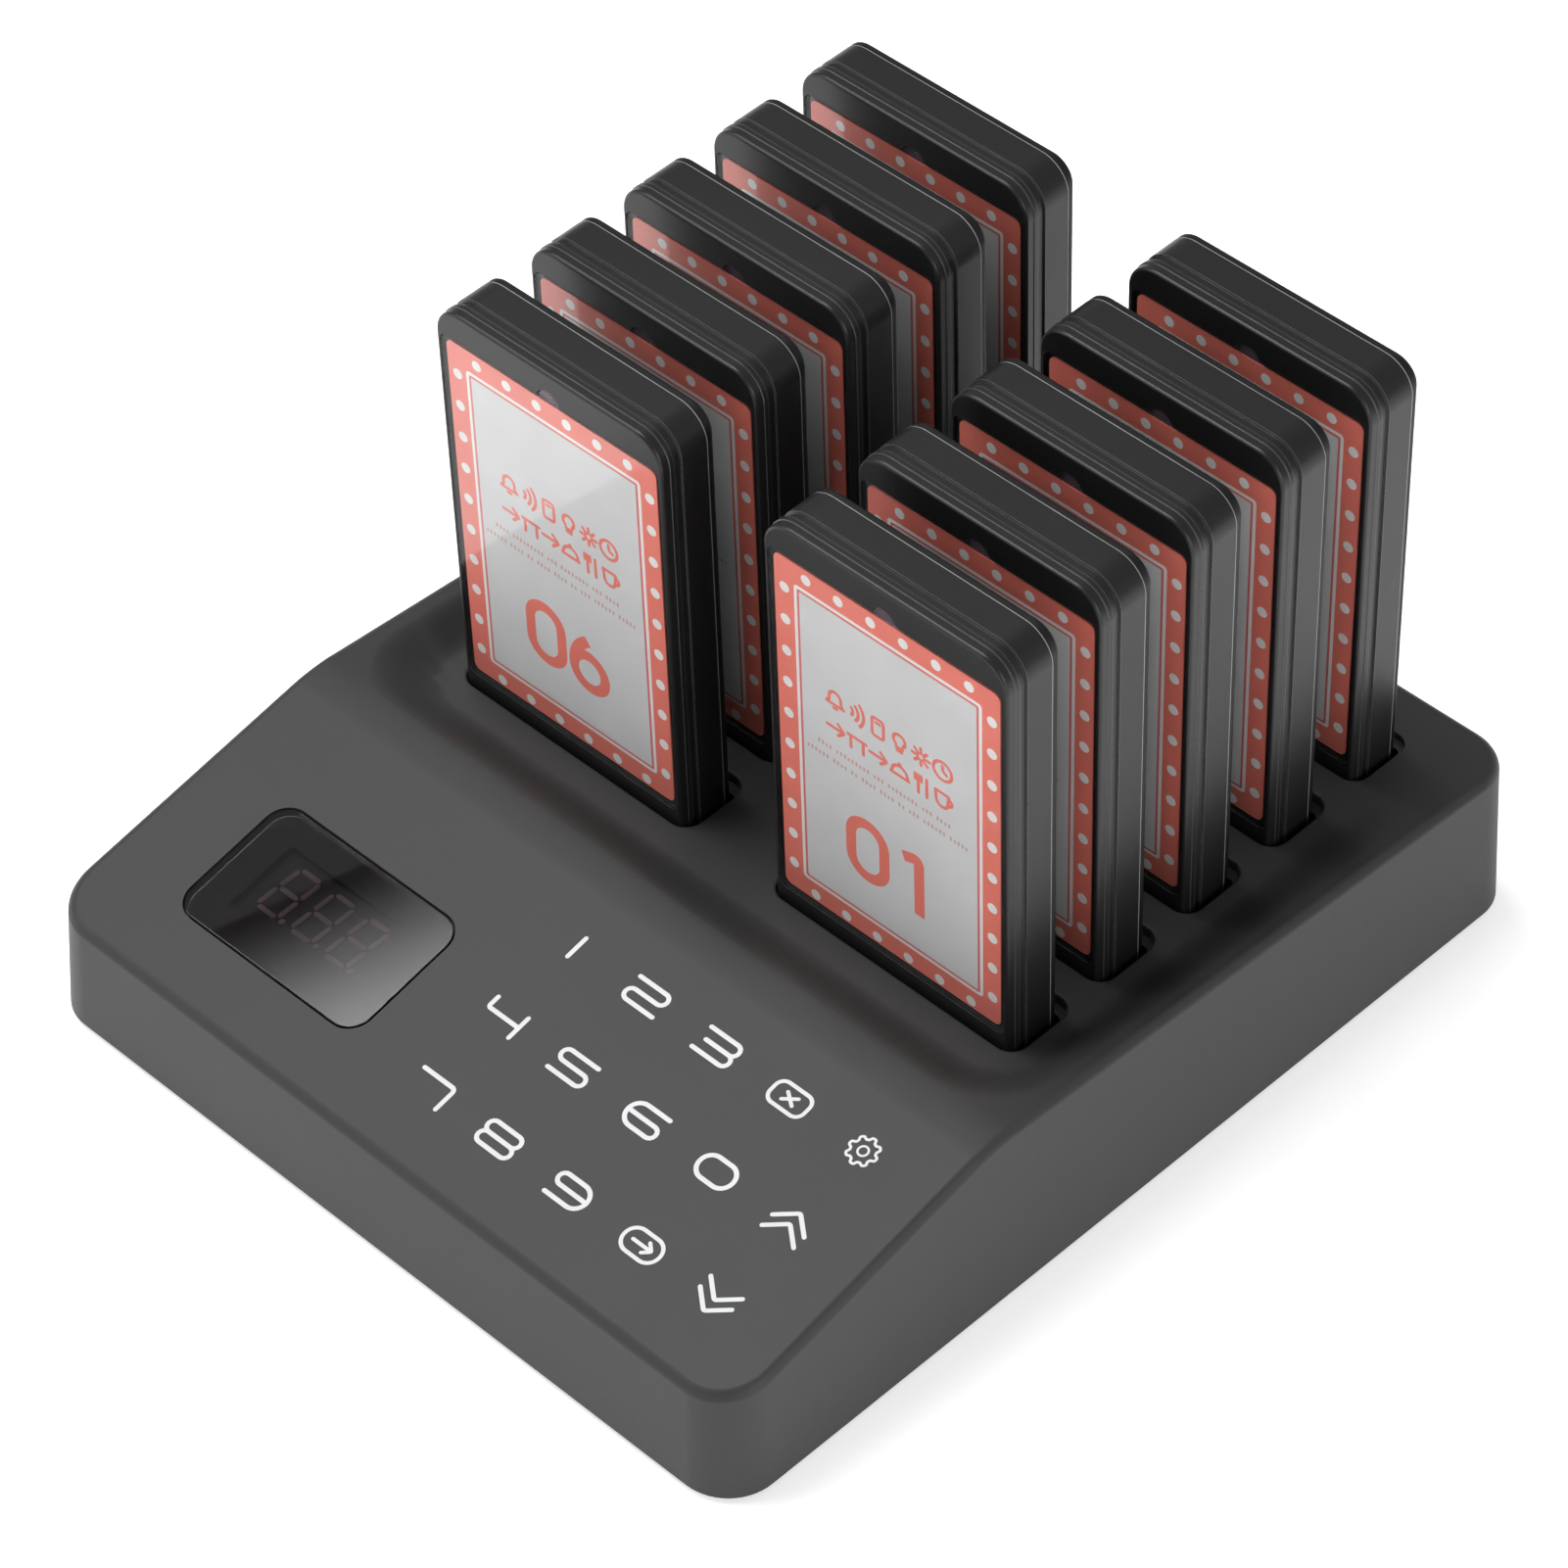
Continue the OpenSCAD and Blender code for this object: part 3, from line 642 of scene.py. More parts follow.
# ---------------------------------------------------------------- strokes


CAP_TURNS = (0, 25, 50, 70, 90)  # degrees round a line's end
CAP_LEAST = 0.02  # share of the width at a line's tip
STRAIGHT = 150.0  # a bend less sharp than this, in degrees, stays as it is
BEND_SHARE, BEND_REACH = 0.55, 0.45  # a bend's size: share of the line's width, and at most of its side
BEND_STEPS = (0, 0.2, 0.4, 0.6, 0.8, 1)


def arc(x: float, y: float, radius: float, start: float, end: float, steps: int = 8) -> list[Point]:
    """Points along an arc, with angles in degrees from +X."""
    angles = [math.radians(start + (end - start) * i / steps) for i in range(steps + 1)]
    return [(x + radius * math.cos(a), y + radius * math.sin(a)) for a in angles]


def ring(width: float, height: float, radius: float) -> list[Point]:
    """Points round a rounded rectangle's middle line, from its right side."""
    x, y = width / 2 - radius, height / 2 - radius
    return arc(x, y, radius, 0, 90) + arc(-x, y, radius, 90, 180) + arc(-x, -y, radius, 180, 270) \
        + arc(x, -y, radius, 270, 360)


@dataclass(frozen=True)
class Stroke:
    """A line of ink: its points, its width, and whether it closes on itself."""

    points: Sequence[Point]
    width: float
    closed: bool = False
    square: bool = False

    def moved(self, x: float, y: float, size: float = 1.0) -> "Stroke":
        """The same stroke at another place and size."""
        return Stroke([(x + px * size, y + py * size) for px, py in self.points],
                      self.width, self.closed, self.square)

    def softened(self) -> list[Point]:
        """The points, with each sharp corner turned into a small bend so that the line keeps its width."""
        points = [Vector(p) for p in self.points]
        made = [points[0]]
        for before, corner, after in zip(points, points[1:], points[2:]):
            to, fro = before - corner, after - corner
            if to.length < 1e-6 or fro.length < 1e-6 or math.degrees(to.angle(fro)) > STRAIGHT:
                made.append(corner)
                continue
            one, two = (corner + way.normalized() * min(self.width * BEND_SHARE, way.length * BEND_REACH)
                        for way in (to, fro))
            made += [one.lerp(corner, t).lerp(corner.lerp(two, t), t) for t in BEND_STEPS]
        return [(p.x, p.y) for p in [*made, points[-1]]]

    def full(self) -> list[tuple[float, float, float]]:
        """Points with a share of the width, which falls off round each open end unless it is cut square."""
        half = self.width / 2
        if self.closed:
            return [(x, y, 1.0) for x, y in self.points]
        points = self.softened()
        if self.square:
            return [(x, y, 1.0) for x, y in points]
        ends = []
        for tip, inner in ((points[0], points[1]), (points[-1], points[-2])):
            out = (Vector(tip) - Vector(inner)).normalized()
            turns = [math.radians(a) for a in CAP_TURNS]
            cap = [Vector(tip) + out * half * math.sin(a) for a in turns]
            ends.append([(p.x, p.y, max(CAP_LEAST, math.cos(a))) for p, a in zip(cap, turns)])
        return ends[0][::-1] + [(x, y, 1.0) for x, y in points[1:-1]] + ends[1]


def inked(name: str, strokes: Sequence[Stroke], rise: float) -> bpy.types.Object:
    """Draws strokes as low domed lines of ink in X and Y.

    Args:
        name: the object's name.
        strokes: the lines to draw.
        rise: the ink's height.

    Returns:
        One mesh with every line.
    """
    made = []
    for width in sorted({s.width for s in strokes}):
        Bench.clear()
        curve = bpy.data.curves.new(name, "CURVE")
        curve.dimensions = "3D"
        curve.bevel_depth = width / 2
        curve.bevel_resolution = 2
        curve.use_fill_caps = True
        for stroke in [s for s in strokes if s.width == width]:
            points = stroke.full()
            spline = curve.splines.new("POLY")
            spline.points.add(len(points) - 1)
            for point, (x, y, share) in zip(spline.points, points):
                point.co = (x, y, 0, 1)
                point.radius = share
            spline.use_cyclic_u = stroke.closed
        Bench.take(Bench.link(name, curve))
        bpy.ops.object.convert(target="MESH")
        obj = bpy.context.object
        obj.data.transform(Matrix.Diagonal((1, 1, 2 * rise / width, 1)))
        made.append(obj)
    piece = Bench.joined(name, made)
    with Bench.editing(piece):
        bpy.ops.mesh.select_all(action="SELECT")
        bpy.ops.mesh.remove_doubles(threshold=0.0001)
    Bench.smooth(piece, 60, False)
    return piece


class KeyFont:
    """Wide rounded figures drawn with one even line, about an origin in their middle."""

    width = 0.95
    frame_line = 0.8
    mark_line = 0.75
    reach = 4.15
    rise = 2.68

    def __init__(self) -> None:
        """Works out the bends that the figures share."""
        self.bend = self.rise / 2
        self.turn = self.reach - self.bend

    def line(self, *points: Point) -> Stroke:
        """An open line through points."""
        return Stroke(points, self.width)

    def figure(self, n: int) -> list[Stroke]:
        """The strokes of one figure, from 0 to 9."""
        a, r, b, t = self.reach, self.rise, self.bend, self.turn
        right_up, right_down = arc(t, b, b, 90, -90), arc(t, -b, b, 90, -90)
        left_up, left_down = arc(-t, b, b, 90, 270), arc(-t, -b, b, 90, 270)
        big_left, big_right = arc(-a + r, 0, r, 90, 270, 14), arc(a - r, 0, r, 90, -90, 14)
        shapes = {
            0: [Stroke(ring(2 * a, 2 * r, r - 0.05), self.width, True)],
            1: [self.line((0, -r + 0.15), (0, r - 0.15))],
            2: [self.line((-a, r), *right_up, *left_down, (a, -r))],
            3: [self.line((-a, r), *right_up), self.line((-a + 1.1, 0), (t, 0)),
                self.line(*right_down, (-a, -r))],
            4: [self.line((-a, r), *arc(-a + 0.6, 0.6, 0.6, 180, 270), (a - 0.2, 0)),
                self.line((a - 0.2, r), (a - 0.2, -r))],
            5: [self.line((a, r), *left_up, *right_down, (-a, -r))],
            6: [self.line((a, r), *big_left, *reversed(right_down), (-a + 0.4, 0))],
            7: [self.line((-a, r), *arc(a - 0.9, r - 0.9, 0.9, 90, 0), (a, -r))],
            8: [self.line(*reversed(right_up), *left_up), self.line((-t, 0), (t, 0)),
                self.line(*right_down, *reversed(left_down))],
            9: [self.line((-a, -r), *reversed(big_right), *left_up, (a - 0.4, 0))],
        }
        return shapes[n]

    def clear_key(self) -> list[Stroke]:
        """A rounded frame with a cross in it."""
        return [Stroke(ring(8.6, 5.2, 1.9), self.frame_line, True),
                *[Stroke([(-1.35, -y), (1.35, y)], self.mark_line) for y in (0.95, -0.95)]]

    def gear_key(self) -> list[Stroke]:
        """A wavy cog outline round a small ring."""
        teeth, steps = 8, 96
        rim = []
        for i in range(steps):
            angle = 2 * math.pi * i / steps
            wave = max(-1.0, min(1.0, 1.7 * math.cos(teeth * angle)))
            radius = 2.85 + 0.33 * wave
            rim.append((radius * math.cos(angle), radius * math.sin(angle)))
        return [Stroke(rim, 0.55, True), Stroke(ring(2.1, 2.1, 1.05), 0.45, True)]

    def chevron_key(self, way: int) -> list[Stroke]:
        """Two nested chevrons that point up the panel for 1, or down it for -1."""
        return [Stroke([(-4.0, (y - 1.7) * way), (0, (y + 1.6) * way), (4.0, (y - 1.7) * way)], 0.9)
                for y in (-1.4, 1.4)]

    def send_key(self) -> list[Stroke]:
        """A rounded frame with an arrow in it."""
        return [Stroke(ring(8.8, 5.4, 2.65), self.frame_line, True),
                Stroke([(-2.3, 0), (2.3, 0)], self.mark_line),
                Stroke([(0.9, 1.25), (2.4, 0), (0.9, -1.25)], self.mark_line)]


# ---------------------------------------------------------------- plan


@dataclass(frozen=True)
class Plan:
    """The dock's sizes and slopes in millimetres and degrees, in the frame of the CAD model."""

    foot_h: float = 1.5
    front_h: float = 25.5
    panel_run: float = 71.0
    panel_slope: float = 13.42
    deck_fall: float = 2.63
    first_row_run: float = 24.53
    floor_h: float = 34.9
    tray_rise: float = 1.07
    row_pitch: float = 24.54
    slot_depth: float = 9.3
    column_x: float = 42.7
    lean: float = 2.2
    rows: int = 5
    corner: float = 11.0
    edge: float = 1.9
    draft: float = 2.5
    wall: float = 2.5
    window_x: float = -46.45
    window_up: float = 31.75
    window_size: Point = (49.9, 30.3)
    window_r: float = 5.0
    half_w: float = field(default_factory=lambda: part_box("top_cover")[1].x / MM)
    half_d: float = field(default_factory=lambda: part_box("top_cover")[1].y / MM)

    @property
    def bend_y(self) -> float:
        """Where the key panel meets the deck."""
        return -self.half_d + self.panel_run

    @property
    def front_z(self) -> float:
        """Height of the panel's plane at the front wall."""
        return self.foot_h + self.front_h

    @property
    def bend_z(self) -> float:
        """Height of the bend."""
        return self.front_z + self.panel_run * math.tan(math.radians(self.panel_slope))

    @property
    def first_row_y(self) -> float:
        """Where the front pagers' faces stand."""
        return self.bend_y + self.first_row_run

    def floor_z(self, y: float) -> float:
        """Height of the tray's floor."""
        return self.foot_h + self.floor_h + (y - self.first_row_y) * math.tan(math.radians(self.tray_rise))

    def on_panel(self, x: float = 0.0, up: float = 0.0) -> Matrix:
        """A place on the key panel: X across, Y up the slope, Z out of it."""
        return (Matrix.Translation((x, -self.half_d, self.front_z))
                @ Matrix.Rotation(math.radians(self.panel_slope), 4, "X") @ Matrix.Translation((0, up, 0)))

    def at_window(self) -> Matrix:
        """The middle of the display window, on the key panel."""
        return self.on_panel(self.window_x, self.window_up)

    def up_from_panel(self) -> Vector:
        """The way that the key panel faces."""
        return self.on_panel().to_3x3() @ Vector((0, 0, 1))

    def at_pager(self, n: int) -> Matrix:
        """A pager's place, at the middle of its foot's front edge, with its lean."""
        side = -1 if n > self.rows else 1
        y = self.first_row_y + (n - 1) % self.rows * self.row_pitch
        return (Matrix.Translation((side * self.column_x, y, self.floor_z(y) - self.slot_depth))
                @ Matrix.Rotation(math.radians(self.lean), 4, "X"))


# ---------------------------------------------------------------- dock


@dataclass
class DockHousing:
    """The upper housing: walls, sloping panel, deck, soft tray and slots."""

    plan: Plan
    bend_soft: float = 5.0
    tray_half_floor: float = 78.0
    tray_half_top: float = 88.0
    tray_front_floor: float = -24.0
    tray_front_top: float = -38.0
    tray_r_floor: float = 10.0
    tray_r_top: float = 17.0
    grid_half: float = 88.9
    grid_front: float = -50.0
    grid_rear: float = 88.0
    wall_lines: tuple[float, float, int] = (-41.0, 0.72, 28)
    floor_lines: Point = (-19.5, -17.7)
    rear_lines: tuple[float, ...] = (70.0, 74.0, 77.0, 79.0, 80.2, 81.2, 82.2, 83.2, 84.5, 86.0)
    slot_gap: float = 4.0
    halvings: int = 14
    slot_w: float = 63.6
    slot_front: float = 1.0
    slot_back: float = 16.5
    slot_r: float = 4.0
    slot_lip: float = 0.55
    inlet_r: float = 4.05
    inlet_z: float = 14.0

    def build(self) -> bpy.types.Object:
        """Models the housing.

        Returns:
            The finished shell, in place.
        """
        obj = self.block()
        self.grid_top(obj)
        self.sink_tray(obj)
        Bench.carve(obj, self.inner_room())
        Bench.carve(obj, self.slots())
        Bench.carve(obj, *self.window_seat())
        Bench.carve(obj, self.inlet_hole())
        Bench.smooth(obj, 30)
        return Bench.seat(obj, Matrix.Identity(4))

    def block(self) -> bpy.types.Object:
        """The drafted block with its slopes, round corners, soft bend and rounded top edge."""
        p = self.plan
        top = p.bend_z + 4
        obj = Bench.box("dock_housing", (-p.half_w, -p.half_d, p.foot_h), (p.half_w, p.half_d, top))
        lean_in = (top - p.foot_h) * math.tan(math.radians(p.draft))
        fall = math.radians(p.deck_fall)
        with Bench.editing(obj):
            Bench.pick(obj, Part.FACES, lambda f: f.normal.z > 0.9)
            bpy.ops.transform.resize(center_override=(0, 0, top), value=(
                (p.half_w - lean_in) / p.half_w, (p.half_d - lean_in) / p.half_d, 1))
            Bench.cut((0, -p.half_d, p.front_z), p.up_from_panel())
            Bench.cut((0, p.bend_y, p.bend_z), (0, math.sin(fall), math.cos(fall)))
            Bench.round_edges(obj, lambda e: length_along(e, 2) > 15
                              and all(abs(v.co.x) > 80 and abs(v.co.y) > 100 for v in e.verts), p.corner, 14)
            Bench.round_edges(obj, lambda e: all(abs(v.co.y - p.bend_y) < 1 and v.co.z > 40 for v in e.verts)
                              and e.calc_length() > 100, self.bend_soft, 8)
            Bench.round_edges(obj, lambda e: len(e.link_faces) == 2
                              and max(f.normal.z for f in e.link_faces) > 0.9
                              and abs(min(f.normal.z for f in e.link_faces)) < 0.3, p.edge, 5)
        return obj

    def grid_top(self, obj: bpy.types.Object) -> None:
        """Cuts the deck into cells where the tray will be, fine across its walls and coarse on its floor."""
        p = self.plan
        across = [0.0]
        for low, high, cells in ((68.0, 77.0, 6), (77.0, self.grid_half, 18)):
            steps = [low + (high - low) * i / cells for i in range(cells + 1)]
            across += [side * x for side in (-1, 1) for x in steps]
        first, step, count = self.wall_lines
        along = [first + step * i for i in range(count)] + [*self.floor_lines]
        along += [p.first_row_y - self.slot_front - self.slot_gap + p.row_pitch * k for k in range(1, p.rows)]
        along += [*self.rear_lines, self.grid_rear]

        def on_deck(face: object, half: float) -> bool:
            """True for a face of the deck or of the bend, within a width."""
            middle = face.calc_center_median()
            return face.normal.z > 0.9 and middle.y > self.grid_front and abs(middle.x) < half

        with Bench.editing(obj):
            for x in sorted(set(across)):
                Bench.pick(obj, Part.FACES, lambda f: on_deck(f, 1000))
                bpy.ops.mesh.bisect(plane_co=(x, 0, 0), plane_no=(1, 0, 0))
            for y in along:
                Bench.pick(obj, Part.FACES, lambda f: on_deck(f, self.grid_half))
                bpy.ops.mesh.bisect(plane_co=(0, y, 0), plane_no=(0, 1, 0))

    def share(self, x: float, y: float) -> float:
        """How far up the tray's wall a point is: 0 on the floor, 1 at the deck."""
        low, high = 0.0, 1.0
        for _ in range(self.halvings):
            middle = (low + high) / 2
            if self.outside(x, y, middle) > 0:
                low = middle
            else:
                high = middle
        return low if low > 0 else 0.0

    def outside(self, x: float, y: float, up: float) -> float:
        """Distance of a point outside the tray's outline at a share of its wall's height."""
        half = self.tray_half_floor + (self.tray_half_top - self.tray_half_floor) * up
        front = self.tray_front_floor + (self.tray_front_top - self.tray_front_floor) * up
        radius = self.tray_r_floor + (self.tray_r_top - self.tray_r_floor) * up
        dx, dy = abs(x) - (half - radius), (front + radius) - y
        return math.hypot(max(dx, 0), max(dy, 0)) + min(max(dx, dy), 0) - radius

    def sink_tray(self, obj: bpy.types.Object) -> None:
        """Lowers the grid to the tray's floor, with soft S-shaped walls that fade out at the rear."""
        p = self.plan
        for vertex in obj.data.vertices:
            x, y, z = vertex.co
            if z < 30 or abs(x) > self.grid_half or not self.grid_front < y < self.grid_rear:
                continue
            if self.outside(x, y, 1.0) >= 0:
                continue
            drop = z - p.floor_z(y)
            drop = (drop + math.sqrt(drop * drop + 0.02)) / 2 - 0.005
            up = 0.0 if self.outside(x, y, 0.0) <= 0 else self.share(x, y)
            vertex.co.z = z - max(drop, 0) * (1 - up * up * (3 - 2 * up))

    def inner_room(self) -> bpy.types.Object:
        """The space inside the walls, under the panel, the deck and the tray."""
        p = self.plan
        x, y = p.half_w - p.wall, p.half_d - p.wall
        obj = Bench.box("inner_room", (-x, -y, p.foot_h - 1), (x, y, p.bend_z))
        lean_in = (p.bend_z - p.foot_h + 1) * math.tan(math.radians(p.draft))
        under = Matrix.Translation((0, 0, -p.wall / math.cos(math.radians(p.panel_slope))))
        fall, rise = math.radians(p.deck_fall), math.radians(p.tray_rise)
        with Bench.editing(obj):
            Bench.pick(obj, Part.FACES, lambda f: f.normal.z > 0.9)
            bpy.ops.transform.resize(value=((x - lean_in) / x, (y - lean_in) / y, 1),
                                     center_override=(0, 0, p.bend_z))
            Bench.cut(under @ Vector((0, -p.half_d, p.front_z)), p.up_from_panel())
            Bench.cut((0, p.first_row_y, p.floor_z(p.first_row_y) - p.wall),
                      (0, -math.sin(rise), math.cos(rise)))
            Bench.cut((0, p.bend_y, p.bend_z - p.wall), (0, math.sin(fall), math.cos(fall)))
            Bench.round_edges(obj, lambda e: length_along(e, 2) > 15
                              and all(abs(v.co.x) > 80 and abs(v.co.y) > 95 for v in e.verts),
                              p.corner - p.wall, 8)
        return obj

    def slots(self) -> bpy.types.Object:
        """Cutters for the ten slots, each with a rounded lip at the floor."""
        p = self.plan
        middle = (self.slot_back - self.slot_front) / 2
        depth = self.slot_back + self.slot_front
        lip = self.slot_lip
        obj = Bench.plate("slots", self.slot_w, depth, self.slot_r, -6.0, -lip, 8)
        with Bench.editing(obj):
            for degrees in range(18, 91, 18):
                now, before = math.radians(degrees), math.radians(degrees - 18)
                out = lip * (1 - math.cos(now)) - lip * (1 - math.cos(before))
                rise = lip * (math.sin(now) - math.sin(before))
                Bench.pick(obj, Part.FACES, lambda f: f.normal.z > 0.9)
                wide, deep = ((size + 2 * out) / size for size in (self.slot_w, depth))
                Bench.grow((0, 0, rise), (wide, deep, 1), (0, 0, 0))
            Bench.pick(obj, Part.FACES, lambda f: f.normal.z > 0.9)
            Bench.grow((0, 0, 3), (1, 1, 1), (0, 0, 0))
        rise = Matrix.Rotation(math.radians(p.tray_rise), 4, "X")
        places = []
        for n in range(1, 2 * p.rows + 1):
            x, y, _ = p.at_pager(n).translation
            places.append(Matrix.Translation((x, y + middle, p.floor_z(y + middle))) @ rise)
        return Bench.copies(obj, places, "slots")

    def window_seat(self) -> list[bpy.types.Object]:
        """Cutters for the window's recess and for the opening under it."""
        (width, height), radius = self.plan.window_size, self.plan.window_r
        recess = Bench.plate("recess", width + 0.9, height + 0.9, radius + 0.45, -1.95, 4, 10)
        opening = Bench.plate("opening", width - 6, height - 6, radius - 2, -6, 1, 6)
        for obj in (recess, opening):
            obj.data.transform(self.plan.at_window())
        return [recess, opening]

    def inlet_hole(self) -> bpy.types.Object:
        """Cutter for the power inlet's hole in the rear wall."""
        obj = Bench.rod("inlet_hole", self.inlet_r, -8, 8)
        obj.data.transform(upright(0, self.plan.half_d, self.inlet_z))
        return obj


@dataclass
class KeyPanel:
    """What is on the sloping panel: the smoked window, its display and the printed keys."""

    plan: Plan
    window_t: float = 1.8
    columns: tuple[float, ...] = (-1.05, 17.45, 36.15, 54.75, 73.3)
    key_rows: tuple[float, ...] = (17.55, 37.3, 57.1)
    digit_first: float = -56.95
    digit_pitch: float = 9.55
    digit_low: float = 27.2
    digit_half_h: float = 5.5
    digit_half_w: float = 2.85
    digit_slant: float = 0.115
    bar_tip: float = 0.42
    bar_gap: float = 1.6
    display_drop: float = 3.0

    def glass(self) -> bpy.types.Object:
        """The window's plate, with a fine rounding at its edge."""
        (width, height), radius = self.plan.window_size, self.plan.window_r
        obj = Bench.plate("display_glass", width, height, radius, -self.window_t, 0.0, 12, 0.22, 3)
        Bench.smooth(obj, 40)
        return Bench.seat(obj, self.plan.at_window())

    def mask(self) -> bpy.types.Object:
        """The black mask under the window, with an opening for the figures."""
        (width, height), radius = self.plan.window_size, self.plan.window_r
        obj = Bench.plate("display_mask", width - 0.4, height - 0.4, radius - 0.2, -1.93, -1.83, 8)
        Bench.carve(obj, Bench.plate("figures_opening", 34.0, 17.5, 1.0, -3, 1, 4))
        return Bench.seat(obj, self.plan.at_window())

    def symbols(self) -> bpy.types.Object:
        """The printed keys, in five columns and three rows."""
        font = KeyFont()
        layout = [
            [*map(font.figure, (7, 8, 9)), font.send_key(), font.chevron_key(-1)],
            [*map(font.figure, (4, 5, 6, 0)), font.chevron_key(1)],
            [*map(font.figure, (1, 2, 3)), font.clear_key(), font.gear_key()],
        ]
        strokes = [s.moved(x, y) for y, row in zip(self.key_rows, layout)
                   for x, key in zip(self.columns, row) for s in key]
        obj = inked("key_symbols", strokes, 0.03)
        return Bench.seat(obj, self.plan.on_panel() @ Matrix.Translation((0, 0, 0.005)))

    def segment(self, x: float, y: float, length: float, upright: bool) -> bpy.types.Object:
        """One bar of a figure, with pointed ends and a bevelled face."""
        obj = Bench.box("segment", (-length / 2, -0.5, -0.25), (length / 2, 0.5, 0.0))
        with Bench.editing(obj):
            for way in (-1, 1):
                Bench.pick(obj, Part.FACES, lambda f: f.normal.x * way > 0.9)
                Bench.grow((way * self.bar_tip, 0, 0), (1, 0.08, 1),
                           (way * (length / 2 + self.bar_tip), 0, 0))
        turn = Matrix.Rotation(math.pi / 2, 4, "Z") if upright else Matrix.Identity(4)
        obj.data.transform(Matrix.Translation((x, y, 0)) @ turn)
        return obj

    def digits(self) -> bpy.types.Object:
        """Three slanted seven-bar figures, each with its point."""
        h, w = self.digit_half_h, self.digit_half_w
        bars = [self.segment(0, y, 2 * w - self.bar_gap, False) for y in (0, h, 2 * h)]
        bars += [self.segment(x, y, h - self.bar_gap, True) for x in (-w, w) for y in (h / 2, 1.5 * h)]
        point = Bench.rod("point", 0.62, -0.25, 0.0, 20)
        point.data.transform(Matrix.Translation((w + 1.35, 0.15, 0)))
        figure = Bench.joined("figure", [*bars, point])
        slant = Matrix.Identity(4)
        slant[0][1] = self.digit_slant
        figure.data.transform(slant)
        places = [Matrix.Translation((self.digit_first + k * self.digit_pitch, self.digit_low, 0))
                  for k in range(3)]
        obj = Bench.copies(figure, places, "display_digits")
        Bench.smooth(obj, 30, False)
        return Bench.seat(obj, self.plan.on_panel() @ Matrix.Translation((0, 0, 0.3 - self.display_drop)))


@dataclass
class RubberFeet:
    """Four round feet with a rounded sole."""

    radius: float = 6.0
    height: float = 2.5
    edge: float = 0.6
    rim: float = 2.6
    hollow: float = 0.25

    def build(self) -> bpy.types.Object:
        """Models one foot, and copies it to each place that the CAD model has."""
        low, high = (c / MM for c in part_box("rubber_feet"))
        foot = Bench.rod("foot", self.radius, 0.0, self.height, 48)
        with Bench.editing(foot):
            Bench.round_edges(foot, lambda e: all(v.co.z < 0.01 for v in e.verts), self.edge, 4)
            Bench.pick(foot, Part.FACES, lambda f: f.normal.z < -0.999)
            bpy.ops.mesh.inset(thickness=self.rim, depth=-self.hollow)
        places = [Matrix.Translation((x, y, 0)) for x in (low.x + self.radius, high.x - self.radius)
                  for y in (low.y + self.radius, high.y - self.radius)]
        obj = Bench.copies(foot, places, "foot_pads")
        Bench.smooth(obj, 40)
        return Bench.seat(obj, Matrix.Identity(4))


# ---------------------------------------------------------------- pagers


